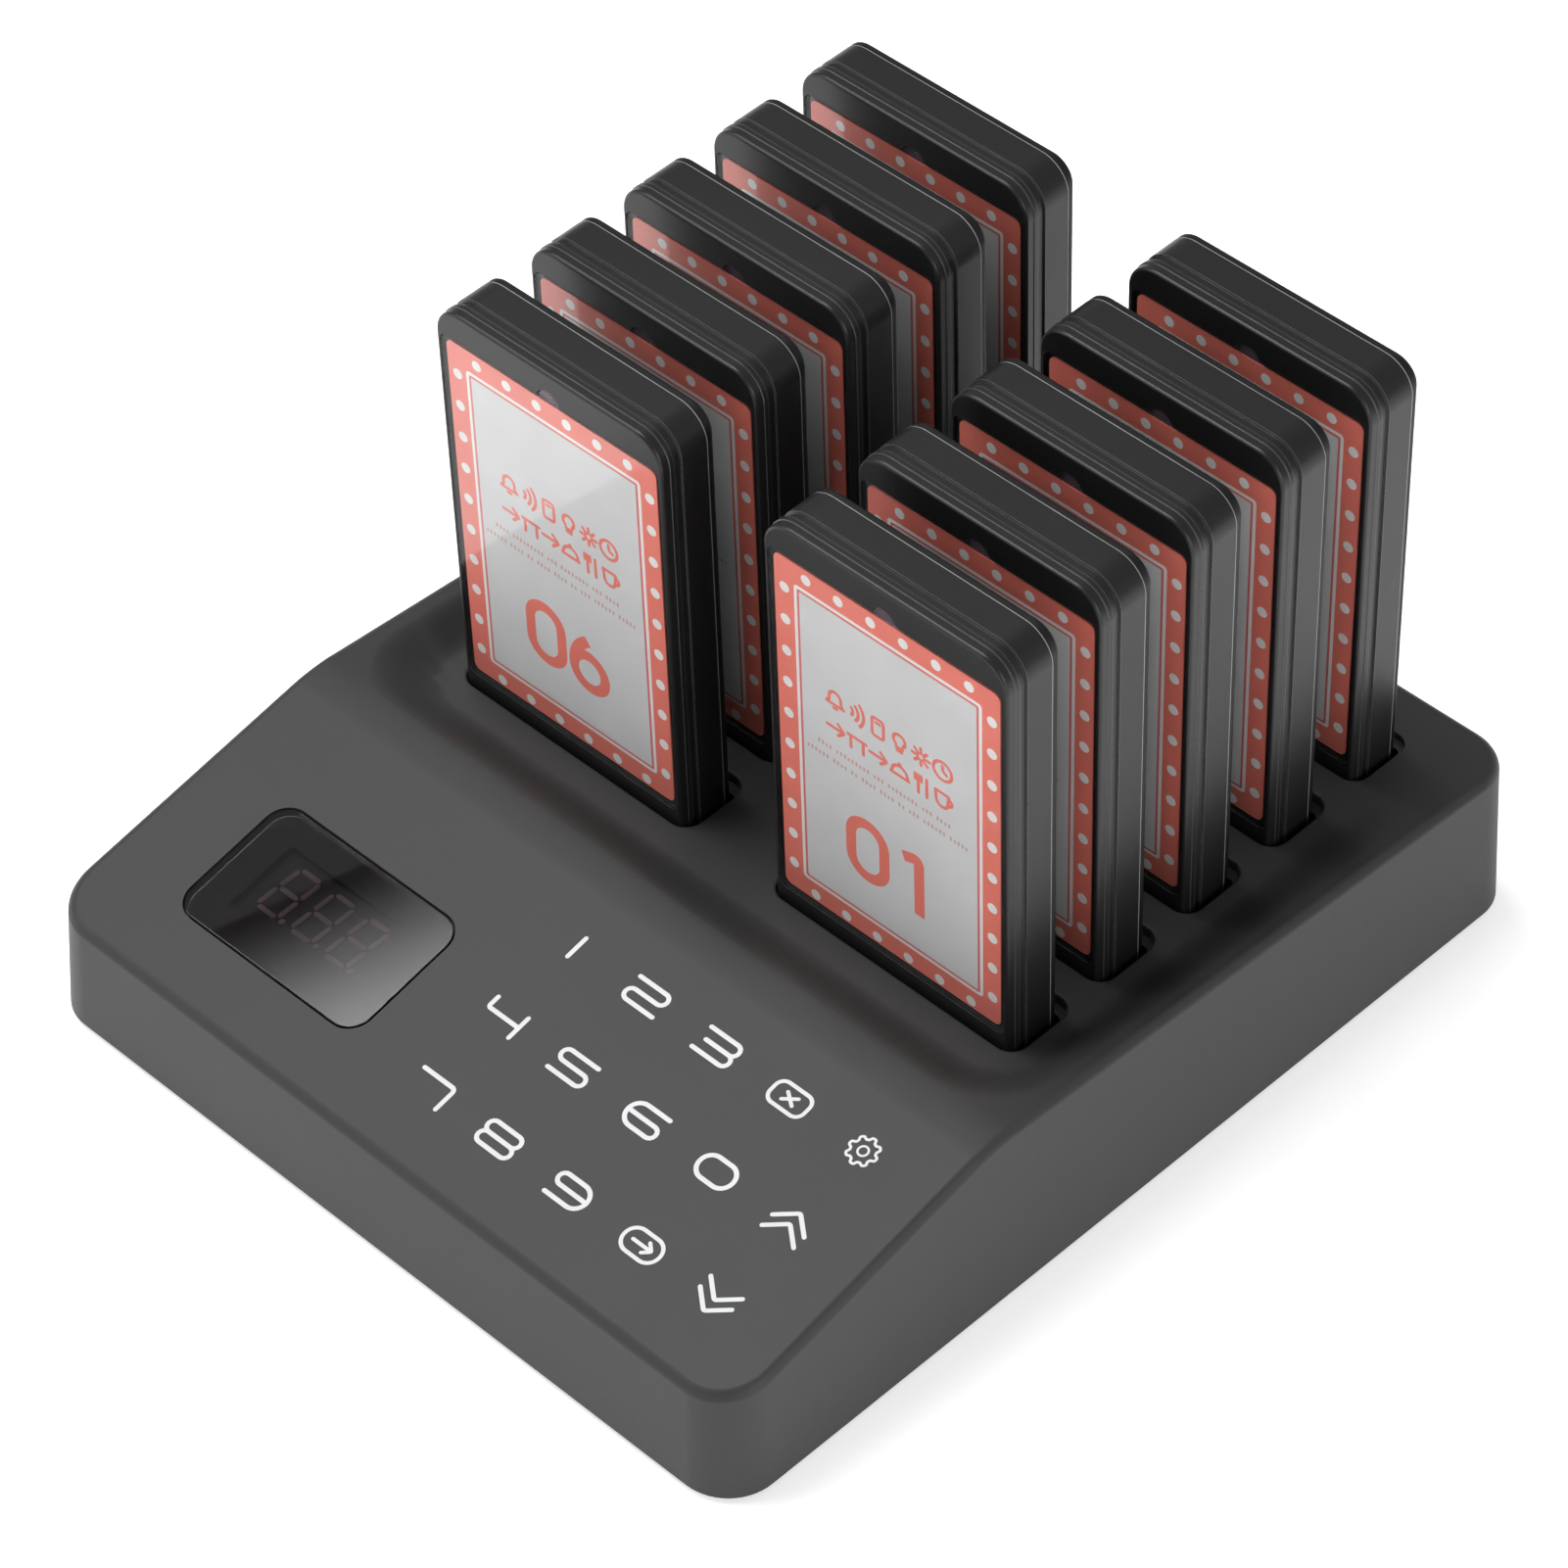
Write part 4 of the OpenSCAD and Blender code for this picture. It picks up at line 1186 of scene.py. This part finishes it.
@dataclass
class PagerShells:
    """The two halves of a pager's case, modelled once at the pager's foot."""

    palette: Palette
    rim_highlight_from: float = 11.61
    ridge_highlight_bands: tuple[Point, ...] = ((2.03, 2.24), (3.09, 3.3), (5.08, 5.29))
    width: float = 60.0
    height: float = 108.0
    thickness: float = 14.0
    corner: float = 7.0
    wall: float = 1.8
    front_wall: float = 2.0
    recess: float = 0.8
    recess_size: Point = (58.0, 88.8)
    label_mid: float = 56.75
    lamp: tuple[float, float, float] = (0.0, 100.2, 3.15)
    front_edge: float = 0.7
    back_edge: float = 0.9
    contact_x: float = 12.0
    contact_half: float = 3.15
    contact_y: Point = (4.35, 9.65)
    back_gap: float = 6.3
    back_cavity: Point = (9, 12.6)
    front_rings: tuple[Point, ...] = ((0.0, 0.15), (2.04, 0.15), (2.14, 0.0), (3.08, 0.0), (3.23, 0.0),
                                      (3.33, 0.45), (5.07, 0.45), (5.17, 0.0), (5.3, 0.0), (11.6, 0.0),
                                      (11.8, 0.0))
    back_rings: tuple[Point, ...] = ((10.4, 1.95), (11.8, 1.95), (11.8, 0.5), (14.0, 0.5))

    def ringed(self, name: str, rings: Sequence[Point]) -> bpy.types.Object:
        """A rounded slab whose rim steps in and out, from a list of depths and insets."""
        (start, inset), (end, _) = rings[0], rings[1]
        w, h = self.width / 2 - inset, self.height / 2 - inset
        obj = Bench.box(name, (-w, start, -h), (w, end, h))
        with Bench.editing(obj):
            Bench.round_edges(obj, lambda e: length_along(e, 1) > 0.1, self.corner - inset, 12)
            for (y0, i0), (y1, i1) in zip(rings[1:], rings[2:]):
                Bench.pick(obj, Part.FACES, lambda f: f.normal.y > 0.9 and f.calc_area() > 1000
                           and f.calc_center_median().y > y0 - 0.01)
                wide, tall = ((size - 2 * i1) / (size - 2 * i0) for size in (self.width, self.height))
                Bench.grow((0, y1 - y0, 0), (wide, 1, tall), (0, y1, 0))
        return obj

    def cutter(self, name: str, size: Point, r: float, depths: Point, z: float = 0.0) -> bpy.types.Object:
        """An upright rounded cutter between two depths, about a height."""
        obj = Bench.plate(name, *size, r, -depths[1], -depths[0], 6)
        obj.data.transform(upright(0, 0, z))
        return obj

    def finished(self, obj: bpy.types.Object) -> bpy.types.Object:
        """Stands a shell on its foot and smooths it."""
        obj.data.transform(Matrix.Translation((0, 0, self.height / 2)))
        Bench.smooth(obj, 40)
        return obj

    def front(self) -> bpy.types.Object:
        """The front half: label recess, lamp hole, contact holes and two fine ridges round the rim, with
        painted highlights on the ridges' edges and on the rim behind the parting line.
        """
        obj = self.ringed("front_shell", self.front_rings)
        with Bench.editing(obj):
            Bench.round_edges(obj, lambda e: all(v.co.y < 0.01 for v in e.verts), self.front_edge, 4)
        foot = -self.height / 2
        cavity = self.cutter("cavity", (self.width - 2 * self.wall, self.height - 2 * self.wall),
                             self.corner - self.wall, (self.front_wall, self.thickness))
        recess = self.cutter("recess", self.recess_size, 2.0, (-1, self.recess), self.label_mid + foot)
        x, z, radius = self.lamp
        lamp = Bench.rod("lamp_hole", radius, -4, 4, 32)
        lamp.data.transform(upright(x, 1, z + foot))
        half, (near, far) = self.contact_half, self.contact_y
        holes = [Bench.box("contact_hole", (x - half, near, foot - 1), (x + half, far, foot + self.wall + 1))
                 for x in (-self.contact_x, self.contact_x)]
        Bench.carve(obj, cavity, recess, lamp, *holes)
        Bench.soften(obj, 0.07)
        self.palette.dress(obj, Finish.PAGER, Finish.PAINTED_RIM_HIGHLIGHT, Finish.PAINTED_RIDGE_HIGHLIGHT)
        # faces on the rim behind the parting line and on the ridges' edges take light materials: painted
        # highlights along these edges
        for face in obj.data.polygons:
            x, y, z = face.center
            across, up = abs(x) - self.width / 2 + self.corner, abs(z) - self.height / 2 + self.corner
            reach = max(across, up) if min(across, up) < 0 else math.hypot(across, up)
            if reach > self.corner - 0.5:
                if y > self.rim_highlight_from:
                    face.material_index = 1
                elif any(low < y < high for low, high in self.ridge_highlight_bands):
                    face.material_index = 2
        return self.finished(obj)

    def back(self) -> bpy.types.Object:
        """The back half, set in a little, with its lip and a rounded rear edge."""
        obj = self.ringed("back_shell", self.back_rings)
        with Bench.editing(obj):
            Bench.round_edges(obj, lambda e: all(v.co.y > self.thickness - 0.01 for v in e.verts),
                              self.back_edge, 4)
        Bench.carve(obj, self.cutter("cavity", (self.width - self.back_gap, self.height - self.back_gap),
                                     self.corner - 3, self.back_cavity))
        Bench.soften(obj, 0.1)
        return self.finished(obj)


@dataclass
class Label:
    """The printed card, its clear window and the lamp that peeks out above it."""

    palette: Palette
    card_w: float = 55.5
    card_h: float = 86.3
    card_t: float = 0.3
    front: float = 0.5
    mid: float = 56.75
    art_x: float = 0.25
    dots_mid: float = -0.45
    dot_pitch: float = 8.0
    dot_r: float = 1.2
    dot_x: float = 25.5
    dot_y: float = 41.1
    frame_w: float = 46.2
    frame_h: float = 76.4
    white_line: float = 0.75
    red_line: float = 0.55
    icon_line: float = 0.78
    print_line: float = 0.5
    print_pitch: float = 0.97
    figure_x: float = -0.1
    figure_y: float = -19.2
    figure_pitch: float = 11.7
    figure_half_w: float = 4.25
    figure_half_h: float = 6.95
    figure_line: float = 2.6
    film: tuple[float, float, float, float, float] = (57.7, 88.5, 1.9, 0.03, 0.44)
    lamp: tuple[float, float, float] = (0.0, 100.2, 3.08)
    lamp_foot: float = 1.95
    lamp_rise: float = 1.22

    def plane(self) -> Matrix:
        """From the card's plane, with Z towards the reader, to the pager's own place."""
        return upright(0, self.front, self.mid)

    def dots(self) -> bpy.types.Object:
        """White dots round the border: six to a short side and ten to a long side."""
        dot = Bench.rod("dots", self.dot_r, 0.0, 0.02, 20)
        across = [(self.dot_pitch * (i - 2.5), y) for i in range(6) for y in (-self.dot_y, self.dot_y)]
        along = [(x, self.dot_pitch * (i - 4.5)) for i in range(10) for x in (-self.dot_x, self.dot_x)]
        places = [Matrix.Translation((x + self.art_x, y + self.dots_mid, 0)) for x, y in across + along]
        return Bench.copies(dot, places, "dots")

    def figure(self, n: int) -> list[Stroke]:
        """The strokes of one figure of the pager's number, from 0 to 9, about its middle."""
        w, x, y = self.figure_line, self.figure_half_w, self.figure_half_h
        bowl = y - x
        six = [Stroke(ring(2 * x, 2 * x, x - 0.02), w, True),
               Stroke([(-x, 0.2), *arc(x + 1.2, 0.2, 2 * x + 1.2, 176, 124, 8)], w)]
        shapes = {
            0: [Stroke(ring(2 * x, 2 * y, x - 0.05), w, True)],
            1: [Stroke([(-2.6, y - 1.5), (1.4, y - 0.1), (1.4, -y - 1.2)], w)],
            2: [Stroke([*arc(0, bowl, x, 165, -35), (-x, -y), (x, -y)], w)],
            3: [Stroke([*arc(-0.2, 3.3, x - 0.9, 150, -90), *arc(-0.2, -3.0, x - 0.3, 90, -150)], w)],
            4: [Stroke([(x + 0.6, -2.9), (-x - 0.2, -2.9), (1.6, y), (1.6, -y)], w)],
            5: [Stroke([(x - 0.4, y), (-x + 0.6, y), (-x + 0.2, 0.9),
                        *arc(-0.1, -bowl + 0.3, x, 118, -145)], w)],
            6: [s.moved(0, -bowl) for s in six],
            7: [Stroke([(-x, y), (x, y), (-1.2, -y)], w)],
            8: [Stroke(ring(2 * x - 1.2, 6.4, 3.1), w, True).moved(0, 3.45),
                Stroke(ring(2 * x, 6.9, 3.4), w, True).moved(0, -3.2)],
            9: [Stroke([(-px, bowl - py) for px, py in s.points], w, s.closed) for s in six],
        }
        return shapes[n]

    def number(self, n: int) -> list[Stroke]:
        """The pager's number, in two plain figures."""
        places = zip((n // 10, n % 10), (-self.figure_pitch / 2, self.figure_pitch / 2))
        strokes = [s.moved(self.art_x + self.figure_x + x, self.figure_y)
                   for digit, x in places for s in self.figure(digit)]
        return [replace(s, square=True) for s in strokes]

    def icons(self) -> list[Stroke]:
        """Two rows of plain pictures: a ringing bell and a lamp, then the way to a served dish."""
        w = self.icon_line

        def line(*points: Point) -> Stroke:
            """An open line through points."""
            return Stroke(points, w)

        bell = [line((-2.1, -1.2), (-1.5, -0.5), *arc(0, 0.5, 1.5, 180, 0), (1.5, -0.5), (2.1, -1.2)),
                line((-2.2, -1.3), (2.2, -1.3)), line((-0.4, -2.2), (0.4, -2.2))]
        waves = [Stroke(arc(-2.2, 0, r, -42, 42), w) for r in (1.3, 2.7, 4.1)]
        pager = [Stroke(ring(2.9, 4.6, 0.7), w, True), line((-0.5, 1.2), (0.5, 1.2))]
        lamp = [Stroke(arc(0, 0.5, 1.55, -55, 235), w), line((-0.8, -1.5), (0.8, -1.5)),
                line((-0.6, -2.3), (0.6, -2.3))]
        star = [Stroke([(0.9 * math.cos(a), 0.9 * math.sin(a)), (2.2 * math.cos(a), 2.2 * math.sin(a))], w)
                for a in [math.pi * k / 4 for k in range(8)]]
        clock = [Stroke(ring(4.6, 4.6, 2.3), w, True), line((0, 1.3), (0, 0), (1.0, -0.5))]
        arrow = [line((-2.2, 0), (2.1, 0)), line((0.6, 1.5), (2.2, 0), (0.6, -1.5))]
        counter = [line((-2.3, 0.9), (2.3, 0.9)), line((-1.6, 0.8), (-1.6, -2.2)),
                   line((1.6, 0.8), (1.6, -2.2))]
        dish = [line(*arc(0, -0.8, 2.0, 180, 0)), line((-2.3, -1.3), (2.3, -1.3)),
                line((-0.15, 1.75), (0.15, 1.75))]
        fork = [line((x, 2.3), (x, 0.9)) for x in (-1.5, -0.75, 0.0)]
        fork += [line((-0.75, 0.9), (-0.75, -2.3)), line((1.4, 2.3), (1.4, -2.3))]
        cup = [line((-1.9, 1.6), (-1.6, -1.2), (-0.9, -2.0), (0.5, -2.0), (1.2, -1.2), (1.5, 1.6)),
               line((-1.9, 1.6), (1.5, 1.6)), Stroke(arc(1.4, 0.1, 0.9, 80, -80), w)]
        rows = [(15.3, [bell, waves, pager, lamp, star, clock]),
                (8.0, [arrow, counter, arrow, dish, fork, cup])]
        return [s.moved(self.art_x - 13.4 + 5.36 * i, y, 0.98)
                for y, row in rows for i, icon in enumerate(row) for s in icon]

    def small_print(self) -> list[Stroke]:
        """Two rows of fine faint bars, in groups, in place of fine print."""
        strokes = []
        for y, start, groups in ((2.2, -17.8, (4, 9, 3, 8, 3, 4)),
                                 (-0.8, -20.6, (6, 4, 2, 4, 4, 2, 3, 6, 5))):
            x = self.art_x + start
            for count in groups:
                for i in range(count):
                    tall = 0.62 if (i * 7 + count) % 3 else 0.42
                    strokes.append(Stroke([(x, y - 0.35), (x, y - 0.35 + tall)], self.print_line))
                    x += self.print_pitch
                x += self.print_pitch * 0.75
        return strokes

    def card(self, n: int) -> bpy.types.Object:
        """The card with all its inks, each a layer of its own."""
        fx, fy = self.frame_w, self.frame_h
        inner = self.white_line * 2
        inmost = inner + self.red_line * 2
        layers = [
            self.palette.dress(obj, ink) for obj, ink in (
                (Bench.plate("card", self.card_w, self.card_h, 1.6, -self.card_t, 0.0, 6), Finish.CORAL),
                (self.dots(), Finish.WHITE),
                (Bench.plate("white", fx, fy, 0.9, 0.0, 0.015, 4), Finish.WHITE),
                (Bench.plate("line", fx - inner, fy - inner, 0.5, 0.0, 0.025, 4), Finish.LINE),
                (Bench.plate("pale", fx - inmost, fy - inmost, 0.3, 0.0, 0.035, 4), Finish.PALE),
                (inked("number", self.number(n), 0.02), Finish.CORAL),
                (inked("icons", self.icons(), 0.02), Finish.CORAL),
                (inked("small_print", self.small_print(), 0.015), Finish.FAINT),
            )]
        for obj in layers[2:5]:
            obj.data.transform(Matrix.Translation((self.art_x, -0.15, 0)))
        for obj in layers[5:]:
            obj.data.transform(Matrix.Translation((0, self.dots_mid, 0.037)))
        obj = Bench.joined(f"pager_{n:02d}_label", layers)
        obj.data.transform(self.plane())
        return obj

    def window(self) -> bpy.types.Object:
        """The clear plate over the card, with a fine rounding at its edge."""
        width, height, radius, front, back = self.film
        obj = Bench.plate("clear_window", width, height, radius, 0.0, back - front, 6, 0.14, 2)
        obj.data.transform(upright(0, back, self.mid))
        Bench.smooth(obj, 40)
        return obj

    def lamp_dome(self) -> bpy.types.Object:
        """The milky lamp behind the window."""
        x, z, radius = self.lamp
        obj = Bench.rod("lamp", radius, 0.0, self.lamp_rise, 40)
        with Bench.editing(obj):
            Bench.round_edges(obj, lambda e: all(v.co.z > 1.0 for v in e.verts), 0.15, 3)
            Bench.cut((0, self.mid + self.card_h / 2 + 0.05 - z, 0), (0, -1, 0))
        obj.data.transform(upright(x, self.lamp_foot, z))
        Bench.smooth(obj, 40)
        return obj


# ---------------------------------------------------------------- studio


@dataclass
class Studio:
    """Camera, floor and soft lights."""

    camera_at: tuple[float, float, float] = (0.5768, -0.5956, 0.8474)
    azimuth: float = 44.16
    elevation: float = 44.08
    lens: float = 137.8
    floor_size: float = 6.0
    floor_glow: float = 0.5
    room_light: float = 0.34
    fill_power: float = 9.0
    side_power: float = 11.0
    window_line: tuple[Point, Point, Point] = ((-38.5, 16.6), (-25.0, 46.9), (-21.5, 16.6))
    box_reach: float = 1.3
    box_size: float = 0.8
    box_glow: float = 8.0
    box_feather: float = 0.1
    aim: tuple[float, float, float] = (0, 0, 0.05)

    def camera(self) -> None:
        """Places the camera level, looking down at the set's corner."""
        data = bpy.data.cameras.new("camera")
        data.lens, data.sensor_width = self.lens, 36.0
        data.clip_start, data.clip_end = 0.05, 50.0
        obj = Bench.link("camera", data)
        obj.location = self.camera_at
        obj.rotation_euler = (math.radians(90 - self.elevation), 0, math.radians(self.azimuth))
        bpy.context.scene.camera = obj

    def floor(self) -> None:
        """A pale floor that fades into the room."""
        Bench.clear()
        bpy.ops.mesh.primitive_plane_add(size=self.floor_size, location=(0, 0, 0))
        obj = bpy.context.object
        obj.name = "floor"
        material, hand, shader = start_material("floor_paper")
        tone = hand.blend(hand.sway(hand.noise(hand.here(), 3, 2)), (0.9, 0.9, 0.9, 1), (0.93, 0.93, 0.93, 1))
        hand.feed(shader, Base_Color=tone, Roughness=0.9, Emission_Color=WHITE_LIGHT,
                  Emission_Strength=self.floor_glow)
        obj.data.materials.append(material)

    def card(self, name: str, at: Vector, facing: Vector, up: Vector, size: Sequence[float],
             glow: float, feather: float) -> None:
        """A glowing card whose light grows from nothing at its lower edge.

        Args:
            name: the card's name.
            at: the middle of its lower edge.
            facing: where its face points.
            up: the way its light grows.
            size: its width and its height.
            glow: its brightness.
            feather: the length over which the light grows.
        """
        Bench.clear()
        bpy.ops.mesh.primitive_plane_add(size=1)
        obj = bpy.context.object
        obj.name = obj.data.name = name
        z = facing.normalized()
        y = (up - z * up.dot(z)).normalized()
        x = y.cross(z)
        turn = Matrix((x, y, z)).transposed().to_4x4()
        obj.data.transform(Matrix.Translation((0, 0.5, 0)))
        obj.matrix_world = Matrix.Translation(at) @ turn @ Matrix.Diagonal((size[0], size[1], 1, 1))
        material, hand, shader = start_material(name)
        split = hand.feed(hand.add("ShaderNodeSeparateXYZ"), Vector=hand.here())
        ramp = hand.add("ShaderNodeMapRange", interpolation_type="SMOOTHSTEP")
        hand.feed(ramp, Value=split.outputs["Y"], From_Min=0.0, From_Max=feather / size[1],
                  To_Min=0.0, To_Max=glow)
        hand.feed(shader, Base_Color=BLACK, Emission_Color=WHITE_LIGHT,
                  Emission_Strength=hand.math("MULTIPLY", ramp.outputs["Result"], hand.front_only()))
        obj.data.materials.append(material)
        obj.visible_camera = False

    def light(self, name: str, at: Sequence[float], size: float, power: float, aim: Sequence[float]) -> None:
        """A square soft light, aimed at a point."""
        data = bpy.data.lights.new(name, "AREA")
        data.size, data.energy = size, power
        obj = Bench.link(name, data)
        obj.location = at
        obj.rotation_euler = (Vector(aim) - Vector(at)).to_track_quat("-Z", "Y").to_euler()

    def room(self) -> None:
        """Even white light from all round, and the picture's own settings."""
        world = bpy.data.worlds.new("room")
        world.use_nodes = True
        hand = Tree(world.node_tree)
        hand.feed(world.node_tree.nodes["Background"], Color=WHITE_LIGHT, Strength=self.room_light)
        bpy.context.scene.world = world
        bpy.context.scene.view_settings.view_transform = "Standard"

    def bounced(self, plan: Plan, x: float, up: float) -> tuple[Vector, Vector]:
        """Where a point on the key panel is, and which way it mirrors the camera."""
        place = plan.on_panel(x, up)
        point, normal = place.translation * MM, place.to_3x3() @ Vector((0, 0, 1))
        back = (Vector(self.camera_at) - point).normalized()
        return point, 2 * normal.dot(back) * normal - back

    def soft_box(self, plan: Plan) -> None:
        """The main light, above and to the left, whose feathered edge shows in the display window."""
        middle, out = self.bounced(plan, plan.window_x, plan.window_up)
        hits = []
        for x, up in self.window_line:
            point, way = self.bounced(plan, x, up)
            share = (self.box_reach - (point - middle).dot(out)) / way.dot(out)
            hits.append(point + way * share)
        along = (hits[1] - hits[0]).normalized()
        grow = hits[2] - hits[0]
        grow -= along * grow.dot(along)
        start = (hits[0] + hits[1]) / 2 - grow.normalized() * self.box_feather * 0.35
        self.card("soft_box", start, -out, grow, (self.box_size, self.box_size), self.box_glow,
                  self.box_feather)

    def build(self, plan: Plan) -> None:
        """Sets up the whole studio."""
        self.camera()
        self.floor()
        self.room()
        self.soft_box(plan)
        self.light("fill", (-1.2, -1.1, 1.0), 1.0, self.fill_power, self.aim)
        self.light("side", (1.6, -0.2, 0.6), 0.9, self.side_power, self.aim)


# ---------------------------------------------------------------- the set


@dataclass
class PagerSet:
    """The whole object: dresses the CAD nodes and adds the modelled pieces."""

    palette: Palette
    plan: Plan = field(default_factory=Plan)

    def add(self, obj: bpy.types.Object, body: str, slot: str, finishes: Sequence[Finish],
            *stands_for: str) -> None:
        """Dresses a seated piece and fixes it to its body.

        Args:
            obj: the piece.
            body: the CAD body that it rides on.
            slot: the record's material slot; not used.
            finishes: its finishes, in the order of its material slots.
            stands_for: CAD nodes that it replaces.
        """
        self.palette.dress(obj, *finishes)
        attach(obj, body)
        if stands_for:
            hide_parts(*stands_for)
        log.info("%s rides on %s, %d faces", obj.name, body, len(obj.data.polygons))

    def dress_nodes(self) -> None:
        """Gives each CAD node that stays the finish of its material slot."""
        finish_of = {
            "cover_plastic": Finish.COVER, "well_plastic": Finish.WELL, "circuit_board": Finish.BOARD,
            "contact_metal": Finish.BRASS, "display_block": Finish.BLOCK, "shield_can": Finish.STEEL,
            "sleeve_plastic": Finish.SLEEVE, "cable_plastic": Finish.CABLE, "screw_steel": Finish.STEEL,
            "dock_plastic": Finish.DOCK, "pager_front": Finish.PAGER, "pager_back": Finish.BACK,
            "label_card": Finish.CORAL, "smoked_window": Finish.SMOKED, "foot_rubber": Finish.RUBBER,
        }
        for part in frame["record"]["subparts"]:
            self.palette.dress(frame["nodes"][part["node"]], finish_of[part["material_slot"]])

    def dock(self) -> None:
        """The dock's modelled pieces."""
        self.add(DockHousing(self.plan).build(), "dock", "dock_plastic", [Finish.DOCK], "top_cover")
        panel = KeyPanel(self.plan)
        self.add(panel.glass(), "dock", "smoked_window", [Finish.SMOKED], "display_window")
        self.add(panel.mask(), "dock", "display_block", [Finish.BLOCK])
        self.add(panel.digits(), "dock", "display_block", [Finish.SEGMENT])
        self.add(panel.symbols(), "dock", "dock_plastic", [Finish.SYMBOL])
        self.add(RubberFeet().build(), "dock", "foot_rubber", [Finish.RUBBER], "rubber_feet")

    def pagers(self) -> None:
        """Ten pagers, from one pair of shells, one window and one lamp."""
        shells, label = PagerShells(self.palette), Label(self.palette)
        masters = [
            (shells.front(), "front_shell", "pager_front", [], "front_case"),
            (shells.back(), "back_shell", "pager_back", [Finish.BACK], "back_case"),
            (label.window(), "clear_window", "label_card", [Finish.FILM], None),
            (label.lamp_dome(), "lamp", "pager_front", [Finish.LAMP], None),
        ]
        for n in range(1, 2 * self.plan.rows + 1):
            place, body = self.plan.at_pager(n), f"pager_{n:02d}"
            for master, name, slot, finishes, stands_for in masters:
                obj = Bench.link(f"{body}_{name}", master.data.copy())
                obj.data.name = obj.name
                nodes = [f"{body}_{stands_for}"] if stands_for else []
                self.add(Bench.seat(obj, place), body, slot, finishes, *nodes)
            self.add(Bench.seat(label.card(n), place), body, "label_card", [], f"{body}_label_card")
        for master, *_ in masters:
            bpy.data.objects.remove(master, do_unlink=True)


def main() -> None:
    """Builds the studio, dresses the CAD nodes and adds the modelled pieces."""
    logging.basicConfig(level=logging.INFO, format="%(message)s")
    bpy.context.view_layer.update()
    pager_set = PagerSet(Palette())
    Studio().build(pager_set.plan)
    pager_set.dress_nodes()
    pager_set.dock()
    pager_set.pagers()
    Bench.clear()


if __name__ == "__main__":
    main()
